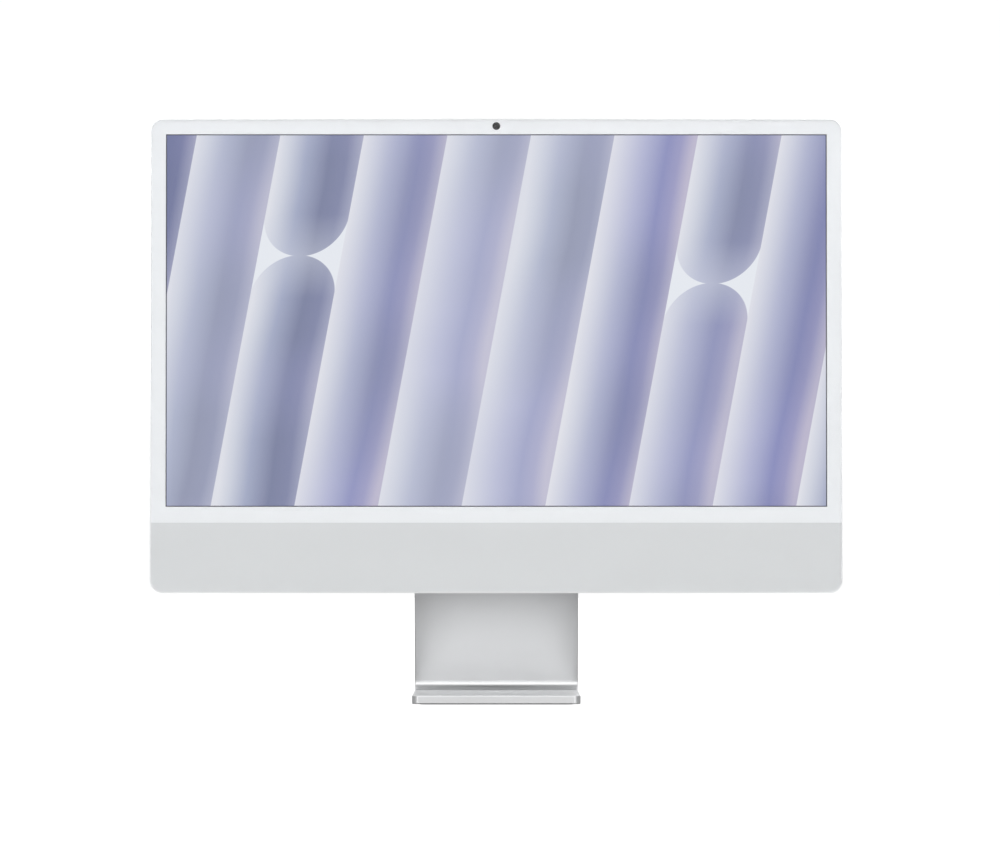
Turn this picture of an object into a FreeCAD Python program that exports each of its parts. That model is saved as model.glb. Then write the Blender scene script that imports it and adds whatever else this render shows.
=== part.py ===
import FreeCAD, Part
import math
import os

# A desktop all-in-one computer: a thin aluminium case behind one full-height sheet of glass, with the
# electronics in the chin under the screen, tilting on a bent aluminium blade that is both neck and foot.
#
# Frame, in millimetres: the origin is the middle of the underside, +Z is up, +X is the viewer's right
# and the screen faces -Y. Depths in the case are counted back from its front plane, so that a depth of
# 0 is the face of the glass and a depth of case_depth is the outside of the rear wall.

Vector = FreeCAD.Vector
X_AXIS = Vector(1, 0, 0)
Y_AXIS = Vector(0, 1, 0)
Z_AXIS = Vector(0, 0, 1)

# ---------------------------------------------------------------- case and screen
overall_height = 461.0
screen_width = 520.3          # the lit picture, 16:9 and 23.5 inches corner to corner
screen_height = 292.6
screen_border = 0.8           # unlit edge of the panel round the picture
bezel = 13.35                 # edge of the picture to edge of the case
chin_height = 55.6
case_depth = 11.5
case_corner = 10.5
rim = 1.0                     # aluminium edge seen round the glass
side_wall = 1.8
back_wall = 1.5
back_edge = 1.4               # rounding of the rear edges
ledge_width = 4.5
ledge_thickness = 1.2

glass_thickness = 1.0
glass_chamfer = 0.2
mask_thickness = 0.15
adhesive_thickness = 0.6
adhesive_width = 3.6
cell_thickness = 1.2
sheets_thickness = 0.5
guide_thickness = 1.2
tray_sheet = 0.4
tray_wall = 0.5
strip_height = 3.0            # LED strip under the light guide
lamp_count = 60
lamp_size = 4.0

# ---------------------------------------------------------------- stand
blade_width = 131.4
foot_depth = 147.0
screen_setback = 49.0         # toe of the foot back to the face of the glass
blade_thickness = 6.5
heel_inner = 6.0              # inside radius of the bend between foot and neck
crown_inner = 5.0             # inside radius of the bend at the top of the neck
lip_length = 6.0
toe_corner = 5.0
blade_edge = 0.6
cable_hole = 16.0             # radius
pad_thickness = 1.2
pad_proud = 0.6
pad_margin = 6.0
pad_corner = 6.0

# ---------------------------------------------------------------- hinge
tilt_back = 20.0              # degrees
tilt_forward = 5.0
hinge_below_top = 190.0
pin_radius = 1.5
knuckle_radius = 2.4
leaf_thickness = 2.0
case_knuckle = 12.0           # lengths along the pin
neck_knuckle = 14.0
clip_length = 6.0
clip_tail = 1.2
groove_depth = 8.0
plate_height = 36.0           # hinge plate in the case, from the pin to its top edge
plate_overhang = 20.0         # beyond the knuckles on each side
plate_thickness = 1.5
plate_tab = 4.0
hinge_shank = 1.2             # screw radii
hinge_head = 2.2
head_height = 0.9
leaf_screw_x = (18.0, 45.0)
plate_screw_x = (16.0, 44.0, 68.0)
plate_screw_drop = 8.0

# ---------------------------------------------------------------- camera and microphones
camera_drop = 6.0             # centre of the camera below the top edge
camera_hole = 3.1             # radii
camera_barrel = 2.9
camera_mouth = 1.7
camera_dome = 1.9
camera_board_width = 26.0
camera_board_sheet = 0.8
microphone_spacing = 60.0
microphone_long = 4.0
microphone_tall = 3.0
microphone_deep = 1.2
sound_hole = 0.5
flex_width = 3.0
flex_sheet = 0.2

# ---------------------------------------------------------------- chin
board_width = 90.0
board_thickness = 1.2
board_corner = 2.0
side_zone = 24.0              # room beside each speaker for the button, the jack and an aerial
inlet_bay = 26.0              # room between the fans
boss_radius = 2.2
boss_inset = 3.5
lug_thickness = 1.6
fine_shank = 1.0              # screws that hold the boards, fans, speakers and shields
fine_head = 1.9
board_screw_spare = 2.5       # hole left beyond the tip of a screw
shield_screw_spare = 1.1
boss_floor = 0.3              # a boss's hole stops this far from the wall
shield_sheet = 0.5
shield_rib = 1.6

chip_carrier = 19.0
chip_lid = 12.0
chip_height = 1.2
spreader_sheet = 0.6
pipe_width = 6.0
pipe_thickness = 1.6
coin_radius = 8.0
coin_thickness = 1.6
coin_seat = 0.6

fin_height = 8.0
fin_sheet = 0.4
fin_pitch = 2.4
fan_sheet = 0.7
fan_wall = 1.2
hub_radius = 9.0
hub_wall = 1.0
shaft_radius = 1.0
wheel_ring = 0.6
wheel_blades = 23
wheel_blade_sheet = 0.56
wheel_sweep = 24.0            # degrees between root and tip of a blade

speaker_wall = 1.2
surround = 2.5                # width of a woofer's rubber ring
cone_height = 24.0
cone_sheet = 0.6
cone_inset = 0.5
coil_radius = 6.5
coil_sheet = 0.5
magnet_gap = 1.7              # each face of a magnet to the outside of its box
tweeter_radius = 7.0
tweeter_depth = 3.0

port_count = 4
port_pitch = 13.5
port_width = 3.16
port_height = 8.94
port_wall = 0.3
port_drop = 10.0              # below the power inlet
inlet_bore = 8.6              # radius
inlet_wall = 1.6
inlet_depth = 4.5
inlet_floor = 1.2
contact_radius = 0.9
contact_circle = 4.6
contact_length = 1.8
jack_bore = 1.8               # radius
jack_length = 14.0
jack_height = 8.0
jack_drop = 22.0              # below the top of the chin's inside
button_radius = 7.0
button_rim = 1.0
button_rim_sheet = 0.9
button_travel = 0.5
button_proud = 0.8            # how far the cap stands out of the rear wall
button_rise = 11.0            # centre above the boards' lower edge
vent_radius = 0.9
vent_pitch = 3.6
window_radius = 21.0
window_step = 3.0
window_sheet = 1.0
window_seat_height = 0.8
window_above_plate = 24.0
aerial_sheet = 1.4
coax_radius = 0.55
coax_bend = 4.0
wire_radius = 0.5
wire_bend = 0.7

# ---------------------------------------------------------------- clearances
fit = 0.05                    # parts that locate each other
glue_gap = 0.1
running = 0.05                # radial, shaft in a plain bore
rubbing = 0.02                # radial, friction clip on the hinge pin
axial = 0.4
swing = 0.8                   # neck to case over the tilt
slot_swing = 0.5
wall_gap = 0.4
ledge_gap = 0.25
bay_gap = 0.6                 # between neighbours in the chin
tray_gap = 1.0                # panel tray to the top of the chin's inside
shield_gap = 1.3              # panel tray to the shields
hinge_gap = 0.5               # panel tray to the knuckles
knuckle_room = 0.35           # knuckles to the rear wall
wheel_gap = 0.6               # fan wheel to its housing
hub_gap = 0.8                 # bearing post to the floor of the hub
cone_gap = 0.3
cone_travel = 0.4
button_gap = 0.15

# ---------------------------------------------------------------- derived places
case_width = screen_width + 2 * bezel
case_height = screen_height + 2 * bezel + chin_height
case_top = overall_height
case_bottom = case_top - case_height
half_case = case_width / 2
front_y = -foot_depth / 2 + screen_setback
rear_y = front_y + case_depth
screen_top = case_top - bezel
screen_bottom = screen_top - screen_height
chin_top = case_bottom + chin_height

mask_depth = glass_thickness + mask_thickness
ledge_depth = mask_depth + adhesive_thickness
inner_back = case_depth - back_wall
bay_front = ledge_depth + ledge_thickness + ledge_gap
bay_back = inner_back - wall_gap
bay_middle_depth = (bay_front + bay_back) / 2
hole_floor = inner_back - boss_floor
jack_barrel = (bay_back - bay_front) / 2
magnet_thickness = bay_back - bay_front - 2 * magnet_gap

cell_width = screen_width + 2 * screen_border
cell_height = screen_height + 2 * screen_border
cell_bottom = screen_bottom - screen_border
sheets_depth = glass_thickness + cell_thickness
guide_depth = sheets_depth + sheets_thickness
tray_floor = guide_depth + guide_thickness
tray_depth = tray_floor + tray_sheet
tray_reach = tray_wall + glue_gap

bay_low = case_bottom + side_wall
bay_high = cell_bottom - tray_reach - tray_gap
bay_middle = (bay_low + bay_high) / 2
fin_low = bay_low + bay_gap
fin_top = fin_low + fin_height

fan_size = bay_high - fin_top - 2 * bay_gap
fan_z = fin_top + bay_gap + fan_size / 2
fan_x = (inlet_bay + fan_size) / 2
wheel_radius = fan_size / 2 - fan_wall - wheel_gap
wheel_front = bay_front + fan_sheet + wheel_gap
wheel_back = bay_back - fan_sheet - wheel_gap

board_inner = fan_x + fan_size / 2 + 2 * bay_gap
board_outer = board_inner + board_width
board_low = bay_low + ledge_width
board_back = bay_front + board_thickness
chip_x = -(board_inner + 20.0)
chip_z = bay_high - 24.0
spreader_front = board_back + chip_height
pipe_front = spreader_front + spreader_sheet

speaker_inner = board_outer + 2 * bay_gap
speaker_outer = half_case - side_wall - side_zone
speaker_high = bay_high - bay_gap
tweeter_x = speaker_outer - tweeter_radius - boss_inset
cone_low_x = speaker_inner + boss_inset + surround
cone_high_x = tweeter_x - tweeter_radius - boss_inset - surround
cone_length = cone_high_x - cone_low_x

hinge_z = case_top - hinge_below_top
hinge_y = front_y + tray_depth + hinge_gap + knuckle_radius
rear_offset = rear_y - hinge_y
clip_radius = knuckle_radius - 0.2
plate_back = front_y + inner_back
plate_low = hinge_z + knuckle_radius + bay_gap + 1.0

inlet_z = bay_middle
button_back = inner_back - fit
button_front = button_back - button_rim_sheet
window_z = hinge_z + plate_height + window_above_plate + window_radius
shield_front = tray_depth + shield_gap

foot_bottom = pad_proud
foot_top = foot_bottom + blade_thickness
half_blade = blade_thickness / 2


def lip_end():
    """How far behind the hinge the neck may start, so that the case clears its top edge at full tilt."""
    angle = math.radians(tilt_back)
    reach = rear_offset + half_blade * math.sin(angle) + swing
    return hinge_y + reach / math.cos(angle)


lip_y = lip_end()
crown_centre = (lip_y + lip_length, hinge_z - half_blade - crown_inner)
heel_centre = (foot_depth / 2 - blade_thickness - heel_inner, foot_top + heel_inner)


def neck_lean():
    """Angle of the neck from the vertical: the line that touches both bends."""
    along = heel_centre[0] - crown_centre[0]
    down = crown_centre[1] - heel_centre[1]
    return math.atan2(along, down) + math.asin((heel_inner - crown_inner) / math.hypot(along, down))


lean = neck_lean()


# ---------------------------------------------------------------- drawing helpers
def box(x, y, z):
    """A block between three (low, high) pairs."""
    return Part.makeBox(x[1] - x[0], y[1] - y[0], z[1] - z[0], Vector(x[0], y[0], z[0]))


def span(centre, size):
    return (centre - size / 2, centre + size / 2)


def depths(front, back):
    """The y range between two depths in the case."""
    return (front_y + front, front_y + back)


def right_through():
    """A y range that passes the whole case."""
    return depths(-1, case_depth + 1)


def rod(axis, radius, centre, reach):
    """A cylinder along an axis. reach is its (low, high) there, centre the other two coordinates."""
    length = reach[1] - reach[0]
    if axis == "x":
        return Part.makeCylinder(radius, length, Vector(reach[0], centre[0], centre[1]), X_AXIS)
    if axis == "y":
        return Part.makeCylinder(radius, length, Vector(centre[0], reach[0], centre[1]), Y_AXIS)
    return Part.makeCylinder(radius, length, Vector(centre[0], centre[1], reach[0]), Z_AXIS)


def tube(axis, outer, inner, centre, reach):
    return rod(axis, outer, centre, reach).cut(rod(axis, inner, centre, reach))


def edges_along(shape, direction):
    """Straight edges that run along a direction."""
    found = []
    for edge in shape.Edges:
        if edge.Curve.TypeId == "Part::GeomLine":
            if abs(abs(edge.Curve.Direction.dot(direction)) - 1) < 1e-6:
                found.append(edge)
    return found


def slab(x, y, z, radius):
    """A block whose four corners are round when it is seen from the front."""
    block = box(x, y, z)
    return block.makeFillet(radius, edges_along(block, Y_AXIS))


def racetrack(x, y, z, length, height):
    """A slab with half-round ends, centred on (x, z)."""
    radius = min(length, height) / 2 - 0.001
    return slab(span(x, length), y, span(z, height), radius)


def joined(shapes):
    return shapes[0].multiFuse(shapes[1:]).removeSplitter()


def less(shape, tools):
    return shape.cut(list(tools))


def group(shapes):
    return Part.makeCompound(list(shapes))


def mirrored(shape):
    """The same shape on the other side of the middle plane."""
    return shape.mirror(Vector(0, 0, 0), X_AXIS)


def both_sides(places):
    """Places given for the right half, and their mirror images."""
    return [(side * x, z) for side in (-1, 1) for x, z in places]


def on_side(places, side):
    return [place for place in places if place[0] * side > 0]


def rounded_route(points, bend):
    """A wire of straight runs joined by tangent arcs."""
    edges = []
    start = points[0]
    for i in range(1, len(points) - 1):
        corner = points[i]
        before = (points[i - 1] - corner).normalize()
        after = (points[i + 1] - corner).normalize()
        half_turn = before.getAngle(after) / 2
        back = bend / math.tan(half_turn)
        first = corner + before * back
        last = corner + after * back
        inwards = (before + after).normalize()
        middle = corner + inwards * (bend / math.sin(half_turn) - bend)
        edges.append(Part.LineSegment(start, first).toShape())
        edges.append(Part.Arc(first, middle, last).toShape())
        start = last
    edges.append(Part.LineSegment(start, points[-1]).toShape())
    return Part.Wire(edges)


def lead(points, radius, bend):
    """A round lead along a route."""
    route = rounded_route(points, bend)
    ring = Part.Wire([Part.makeCircle(radius, points[0], points[1] - points[0])])
    return route.makePipeShell([ring], True, False)


def screw(axis, place, seat, way, radii, bite):
    """A pan-head screw with its head's underside at seat, going in along way (1 or -1) on an axis."""
    shank_radius, head_radius = radii

    def reach(near, far):
        return tuple(sorted((seat + way * near, seat + way * far)))

    head = rod(axis, head_radius, place, reach(-head_height, 0))
    shank = rod(axis, shank_radius, place, reach(-0.1, bite))
    drive = rod(axis, shank_radius * 0.7, place, reach(-head_height - 0.1, -head_height * 0.4))
    return joined([head, shank]).cut(drive)


# ---------------------------------------------------------------- stand
def neck_point(z):
    """The y of the middle of the neck at a height."""
    radius = crown_inner + half_blade
    start_y = crown_centre[0] + radius * math.cos(lean)
    start_z = crown_centre[1] + radius * math.sin(lean)
    return start_y + (start_z - z) * math.tan(lean)


def on_arc(centre, radius, angle):
    return Vector(0, centre[0] + radius * math.cos(angle), centre[1] + radius * math.sin(angle))


def bend_edge(centre, radius, start, end):
    points = [on_arc(centre, radius, angle) for angle in (start, (start + end) / 2, end)]
    return Part.Arc(*points).toShape()


def blade_profile():
    """Side view of the stand: foot, heel bend, leaning neck, crown bend and lip."""
    down, up = -math.pi / 2, math.pi / 2
    heel_outer = heel_inner + blade_thickness
    crown_outer = crown_inner + blade_thickness
    arcs = [
        bend_edge(heel_centre, heel_outer, down, lean),
        bend_edge(crown_centre, crown_outer, lean, up),
        bend_edge(crown_centre, crown_inner, up, lean),
        bend_edge(heel_centre, heel_inner, lean, down),
    ]
    toe_low = Vector(0, -foot_depth / 2, foot_bottom)
    toe_high = Vector(0, -foot_depth / 2, foot_top)
    lip_high = Vector(0, lip_y, hinge_z + half_blade)
    lip_low = Vector(0, lip_y, hinge_z - half_blade)
    runs = [
        [toe_low, on_arc(heel_centre, heel_outer, down)],
        [on_arc(heel_centre, heel_outer, lean), on_arc(crown_centre, crown_outer, lean)],
        [on_arc(crown_centre, crown_outer, up), lip_high, lip_low, on_arc(crown_centre, crown_inner, up)],
        [on_arc(crown_centre, crown_inner, lean), on_arc(heel_centre, heel_inner, lean)],
        [on_arc(heel_centre, heel_inner, down), toe_high, toe_low],
    ]
    lines = [Part.makePolygon(points).Edges for points in runs]
    edges = lines[0]
    for arc, line in zip(arcs, lines[1:]):
        edges = edges + [arc] + line
    return Part.Face(Part.Wire(edges))


def blade_plate():
    """The bent plate, with round toe corners and soft long edges."""
    solid = blade_profile().extrude(X_AXIS * blade_width)
    solid.translate(X_AXIS * (-blade_width / 2))
    toe = [e for e in edges_along(solid, Z_AXIS) if e.BoundBox.YMax < -foot_depth / 2 + 0.01]
    solid = solid.makeFillet(toe_corner, toe)
    side = blade_width / 2 - 0.01
    rims = []
    for edge in solid.Edges:
        bounds = edge.BoundBox
        on_side_face = bounds.XLength < 0.01 and min(abs(bounds.XMin), abs(bounds.XMax)) > side
        in_lip_end = bounds.YMax < lip_y + 0.01 and bounds.ZMin > foot_top + 1
        if on_side_face and not in_lip_end and bounds.YMin > -foot_depth / 2:
            rims.append(edge)
    return solid.makeFillet(blade_edge, rims)


def leaf_screw_places():
    y = lip_y + groove_depth / 2
    return [(side * x, y) for side in (-1, 1) for x in leaf_screw_x]


def leaf_screw_seat():
    return hinge_z - half_blade + head_height + fit


def stand_blade():
    """Foot, neck and lip, bent from one aluminium plate."""
    lip_low = hinge_z - half_blade
    groove_y = (lip_y - 1, lip_y + groove_depth)
    tools = [cable_hole_cutter(), pad_block(fit, (foot_bottom - 1, pad_thickness))]
    tools.append(box(span(0, leaf_width + 2 * fit), groove_y, span(hinge_z, leaf_thickness)))
    for place in leaf_screw_places():
        tools.append(rod("z", hinge_head + fit, place, (lip_low - 1, leaf_screw_seat())))
        tools.append(rod("z", hinge_shank + fit, place, (lip_low - 1, hinge_z + leaf_thickness / 2 + 1.0)))
    return less(blade_plate(), tools)


def cable_hole_cutter():
    """A hole square to the neck, level with the power inlet."""
    outwards = Vector(0, math.cos(lean), math.sin(lean))
    start = Vector(0, neck_point(inlet_z), inlet_z) - outwards * blade_thickness
    return Part.makeCylinder(cable_hole, 2 * blade_thickness, start, outwards)


def pad_block(grow, z):
    """The foot pad's outline, grown all round."""
    x = span(0, blade_width - 2 * pad_margin + 2 * grow)
    y = (-foot_depth / 2 + pad_margin - grow, heel_centre[0] - pad_margin + grow)
    block = box(x, y, z)
    return block.makeFillet(pad_corner, edges_along(block, Z_AXIS))


def foot_pad():
    """Soft pad set in the underside of the foot, a little proud of it."""
    return pad_block(0, (0, pad_thickness))


# ---------------------------------------------------------------- hinge
def hinge_layout():
    """Knuckles and friction clips along the pin, as (kind, (low x, high x)), centred on the middle."""
    lengths = {"case": case_knuckle, "neck": neck_knuckle, "clip": clip_length}
    order = ["case", "neck", "clip", "case", "neck", "case", "clip", "neck", "case"]
    total = sum(lengths[kind] for kind in order) + axial * (len(order) - 1)
    x = -total / 2
    places = []
    for kind in order:
        places.append((kind, (x, x + lengths[kind])))
        x += lengths[kind] + axial
    return places


hinge_pieces = hinge_layout()
leaf_width = hinge_pieces[-1][1][1] - hinge_pieces[0][1][0]
hinge_centre = (hinge_y, hinge_z)


def pieces_of(kind):
    return [x for name, x in hinge_pieces if name == kind]


def neck_hinge_leaf():
    """Steel leaf let into the lip, with the knuckles that the pin turns in."""
    reach = knuckle_radius + axial
    thick = span(hinge_z, leaf_thickness)
    pieces = [box(span(0, leaf_width), (hinge_y + reach, lip_y + groove_depth), thick)]
    for x in pieces_of("neck"):
        pieces.append(rod("x", knuckle_radius, hinge_centre, x))
        pieces.append(box(x, (hinge_y, hinge_y + reach + 0.1), thick))
    bores = [rod("x", pin_radius + running, hinge_centre, span(0, 2 * leaf_width))]
    for place in leaf_screw_places():
        bores.append(rod("z", hinge_shank + fit, place, span(hinge_z, 2 * leaf_thickness)))
    return less(joined(pieces), bores)


def neck_leaf_screws():
    bite = hinge_z + leaf_thickness / 2 + 0.9 - leaf_screw_seat()
    radii = (hinge_shank, hinge_head)
    return group(screw("z", place, leaf_screw_seat(), 1, radii, bite) for place in leaf_screw_places())


def friction_clips():
    """Split steel bands that grip the pin, with tails that bear on the neck's leaf."""
    clips = []
    for x in pieces_of("clip"):
        past = (x[0] - 1, x[1] + 1)
        band = rod("x", clip_radius, hinge_centre, x)
        tail = box(x, (hinge_y + pin_radius, hinge_y + knuckle_radius + axial), span(hinge_z, clip_tail))
        bore = rod("x", pin_radius + rubbing, hinge_centre, past)
        split = box(past, span(hinge_y, 0.8), (hinge_z - knuckle_radius, hinge_z))
        clips.append(less(joined([band, tail]), [bore, split]))
    return group(clips)


def hinge_pin():
    return rod("x", pin_radius, hinge_centre, span(0, leaf_width))


def plate_screw_places():
    z = hinge_z + plate_height - plate_screw_drop
    return both_sides([(x, z) for x in plate_screw_x])


def case_hinge_plate():
    """Steel plate on the inside of the rear wall, with the knuckles that hold the pin fast."""
    width = leaf_width + 2 * plate_overhang
    top = hinge_z + plate_height
    pieces = [slab(span(0, width), (plate_back - plate_thickness, plate_back), (plate_low, top), 5.0)]
    for x in pieces_of("case"):
        tab_front = hinge_y - knuckle_radius
        pieces.append(rod("x", knuckle_radius, hinge_centre, x))
        pieces.append(box(x, (tab_front, hinge_y + 0.2), (hinge_z, plate_low + plate_tab)))
        pieces.append(box(x, (tab_front, plate_back), (plate_low, plate_low + plate_tab)))
    bores = [rod("x", pin_radius, hinge_centre, span(0, 2 * leaf_width))]
    bores += [rod("y", hinge_shank + fit, place, right_through()) for place in plate_screw_places()]
    return less(joined(pieces), bores)


# ---------------------------------------------------------------- fastenings in the case
def board_screw_places():
    x_low, x_high = board_inner + boss_inset, board_outer - boss_inset
    z_low, z_high = fin_top + bay_gap + boss_radius, bay_high - boss_inset
    return both_sides([(x, z) for x in (x_low, x_high) for z in (z_low, z_high)])


def fan_screw_places():
    offset = fan_size / 2 - boss_radius - 2 * bay_gap
    return both_sides([(fan_x - offset, fan_z + offset), (fan_x + offset, fan_z - offset)])


def speaker_screw_places():
    upper = (speaker_inner + boss_inset, speaker_high - boss_inset)
    lower = (speaker_outer - boss_inset, board_low + boss_inset)
    return both_sides([upper, lower])


def lug_screw_places():
    return fan_screw_places() + speaker_screw_places()


def shield_outline():
    """x and z ranges of the right-hand shield plate."""
    x = (leaf_width / 2 + plate_overhang + bay_gap * 10, cell_width / 2 - 6.0)
    z = (bay_high + 14.0, screen_top - 14.0)
    return x, z


def shield_screw_places():
    x, z = shield_outline()
    inset = 8.0
    return both_sides([(u, v) for u in (x[0] + inset, x[1] - inset) for v in (z[0] + inset, z[1] - inset)])


def fastened():
    """Every boss on the rear wall, as (places, depth of the boss's face)."""
    return [
        (board_screw_places(), board_back),
        (lug_screw_places(), bay_front + lug_thickness),
        (shield_screw_places(), shield_front + shield_sheet),
    ]


def bosses():
    """Posts on the rear wall that boards, fans, speakers and shields are screwed to."""
    posts = []
    for places, face in fastened():
        posts += [rod("y", boss_radius, place, depths(face, inner_back + 0.1)) for place in places]
    return posts


def boss_holes():
    holes = []
    for places, face in fastened():
        holes += [rod("y", fine_shank, place, depths(face - 1, hole_floor)) for place in places]
    return holes


def case_screws():
    """All the screws inside the case, which go in from the front before the glass is on."""
    fine = (fine_shank, fine_head)
    board_bite = hole_floor - board_screw_spare - bay_front
    shield_bite = hole_floor - shield_screw_spare - shield_front
    screws = []
    for place in board_screw_places() + lug_screw_places():
        screws.append(screw("y", place, front_y + bay_front, 1, fine, board_bite))
    for place in shield_screw_places():
        screws.append(screw("y", place, front_y + shield_front, 1, fine, shield_bite))
    for place in plate_screw_places():
        screws.append(screw("y", place, plate_back - plate_thickness, 1, (hinge_shank, hinge_head), 2.4))
    return group(screws)


def screw_holes(places):
    return [rod("y", fine_shank + fit, place, right_through()) for place in places]


def lug_pads(places, y):
    """Solid corners for a component's screws."""
    return [rod("y", boss_radius + 2 * bay_gap, place, y) for place in places]


def lug_rooms(places):
    """Room behind a lug for its boss."""
    y = depths(bay_front + lug_thickness, case_depth)
    return [rod("y", boss_radius + bay_gap / 2, place, y) for place in places]


# ---------------------------------------------------------------- case
def port_places():
    """(x, z) of the data ports, in a row near the outer end of the left-hand board."""
    first = -board_outer + boss_inset + boss_radius + port_width
    return [(first + i * port_pitch, inlet_z - port_drop) for i in range(port_count)]


def port_solid(place, grow, y):
    """A port's upright outline with round ends."""
    return racetrack(place[0], y, place[1], port_width + 2 * grow, port_height + 2 * grow)


def button_place():
    return (-(half_case - side_wall - side_zone / 2), board_low + button_rise)


def jack_centre():
    """(y, z) of the headphone jack, which opens in the left side."""
    return (front_y + bay_middle_depth, bay_high - jack_drop)


def vent_row(x_low, x_high, depth):
    """Holes through the bottom wall, spread evenly between two x values."""
    count = int((x_high - x_low) / vent_pitch) + 1
    start = (x_low + x_high) / 2 - (count - 1) * vent_pitch / 2
    reach = (case_bottom - 1, bay_low + 1)
    return [rod("z", vent_radius, (start + i * vent_pitch, front_y + depth), reach) for i in range(count)]


def vents():
    """Two staggered rows under each speaker and each fan."""
    stretches = [(speaker_inner + 8, speaker_outer - 8), (fan_x - fan_size / 2 + 3, fan_x + fan_size / 2 - 3)]
    holes = []
    for low, high in stretches:
        for side in (-1, 1):
            x = sorted((side * low, side * high))
            holes += vent_row(x[0], x[1], bay_middle_depth - vent_pitch / 2)
            holes += vent_row(x[0] + vent_pitch / 2, x[1] - vent_pitch / 2, bay_middle_depth + vent_pitch / 2)
    return holes


def microphone_places():
    """(x, y) of the microphones, under the top wall."""
    return [(x, front_y + bay_front + 1.0) for x in span(0, microphone_spacing)]


def case_slab(inset, y, radius):
    x = (-half_case + inset, half_case - inset)
    z = (case_bottom + inset, case_top - inset)
    return slab(x, y, z, radius)


def hinge_slot():
    """Opening in the rear wall for the neck's leaf, tall enough for the whole tilt."""
    back, forward = math.radians(tilt_back), math.radians(tilt_forward)
    up = rear_offset * math.tan(back) + leaf_thickness / 2 / math.cos(back)
    down = rear_offset * math.tan(forward) + leaf_thickness / 2 / math.cos(forward)
    z = (hinge_z - down - slot_swing, hinge_z + up + slot_swing)
    return slab(span(0, leaf_width + 2 * slot_swing), depths(inner_back - 1, case_depth + 1), z, 1.5)


def camera_pocket():
    """Room for the camera in the ledge at the top."""
    z = (case_top - rim - ledge_width - 1, case_top - side_wall)
    return box(span(0, camera_board_width + 1.0), depths(mask_depth, bay_front + 3.0), z)


def case_shell():
    """The tray itself: rear wall, side walls and the ledge for the glass."""
    outer = case_slab(0, depths(0, case_depth), case_corner)
    back_edges = [e for e in outer.Edges if e.BoundBox.YMin > rear_y - 0.01]
    outer = outer.makeFillet(back_edge, back_edges)
    pocket = case_slab(rim, depths(-1, ledge_depth), case_corner - rim)
    mouth = case_slab(rim + ledge_width, depths(-1, inner_back), case_corner / 2)
    room = case_slab(side_wall, depths(ledge_depth + ledge_thickness, inner_back), case_corner - side_wall)
    return less(outer, [pocket, mouth, room])


def rear_case():
    """Machined aluminium tray with its bosses and every opening."""
    window = (0, window_z)
    seat_y = depths(inner_back - window_seat_height, inner_back + 0.1)
    case = joined([case_shell(), rod("y", window_radius + window_step, window, seat_y)] + bosses())
    wall = depths(inner_back - 1, case_depth + 1)
    tools = [hinge_slot(), camera_pocket(), group(vents())] + boss_holes()
    tools.append(rod("x", knuckle_radius + knuckle_room, hinge_centre, span(0, leaf_width + 2 * slot_swing)))
    tools += [port_solid(place, fit, wall) for place in port_places()]
    tools.append(rod("y", inlet_bore + inlet_wall + fit, (0, inlet_z), wall))
    tools.append(rod("y", button_radius + button_gap, button_place(), wall))
    tools.append(rod("x", jack_barrel + fit, jack_centre(), (-half_case - 1, -half_case + side_wall + 1)))
    tools.append(rod("y", window_radius + fit, window, depths(case_depth - window_sheet, case_depth + 1)))
    tools.append(rod("y", window_radius - window_step, window, depths(inner_back - 2, case_depth)))
    for place in plate_screw_places():
        tools.append(rod("y", hinge_shank + fit, place, depths(inner_back - 0.1, inner_back + 1.0)))
    for place in microphone_places():
        tools.append(rod("z", sound_hole, place, (case_top - side_wall - 1, case_top + 1)))
    return less(case, tools)


def aerial_window():
    """Plain round plastic disc, flush in the metal back, that radio can pass through."""
    place = (0, window_z)
    disc = rod("y", window_radius, place, depths(case_depth - window_sheet, case_depth))
    plug_depths = depths(inner_back - window_seat_height, case_depth - window_sheet + 0.1)
    return joined([disc, rod("y", window_radius - window_step - fit, place, plug_depths)])


# ---------------------------------------------------------------- glass and masks
def cover_glass():
    """One sheet of glass over the screen, its border and the chin."""
    inset = rim + glue_gap
    glass = case_slab(inset, depths(0, glass_thickness), case_corner - inset)
    front_edges = [e for e in glass.Edges if e.BoundBox.YMax < front_y + 0.01]
    return glass.makeChamfer(glass_chamfer, front_edges)


def mask_sheet():
    inset = rim + glue_gap
    return case_slab(inset, depths(glass_thickness, mask_depth), case_corner - inset)


def screen_block(grow, y):
    """A block over the panel's outline, grown all round."""
    z = (cell_bottom - grow, cell_bottom + cell_height + grow)
    return box(span(0, cell_width + 2 * grow), y, z)


def bezel_mask():
    """White ink film behind the glass, round the screen."""
    lower = box((-half_case, half_case), right_through(), (case_bottom, chin_top))
    hole = rod("y", camera_hole, (0, camera_z), right_through())
    return less(mask_sheet(), [screen_block(fit, right_through()), lower, hole])


def chin_mask():
    """Grey ink film behind the glass over the chin."""
    upper = box((-half_case, half_case), right_through(), (chin_top, case_top))
    return mask_sheet().cut(upper)


def glass_adhesive():
    """Foam tape between the glass and the ledge."""
    inset = rim + glue_gap + 0.3
    outer = case_slab(inset, depths(mask_depth, ledge_depth), case_corner - inset)
    inner = case_slab(inset + adhesive_width, right_through(), case_corner / 2)
    return less(outer, [inner, camera_pocket()])


# ---------------------------------------------------------------- display panel
def display_cell():
    return screen_block(0, depths(glass_thickness, sheets_depth))


def diffuser_sheets():
    return screen_block(-0.3, depths(sheets_depth, guide_depth))


def light_guide():
    """Acrylic plate that spreads the light of the strip at its lower edge."""
    z = (cell_bottom + strip_height + 0.6, cell_bottom + cell_height - 0.3)
    return box(span(0, cell_width - 0.6), depths(guide_depth, tray_floor), z)


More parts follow.
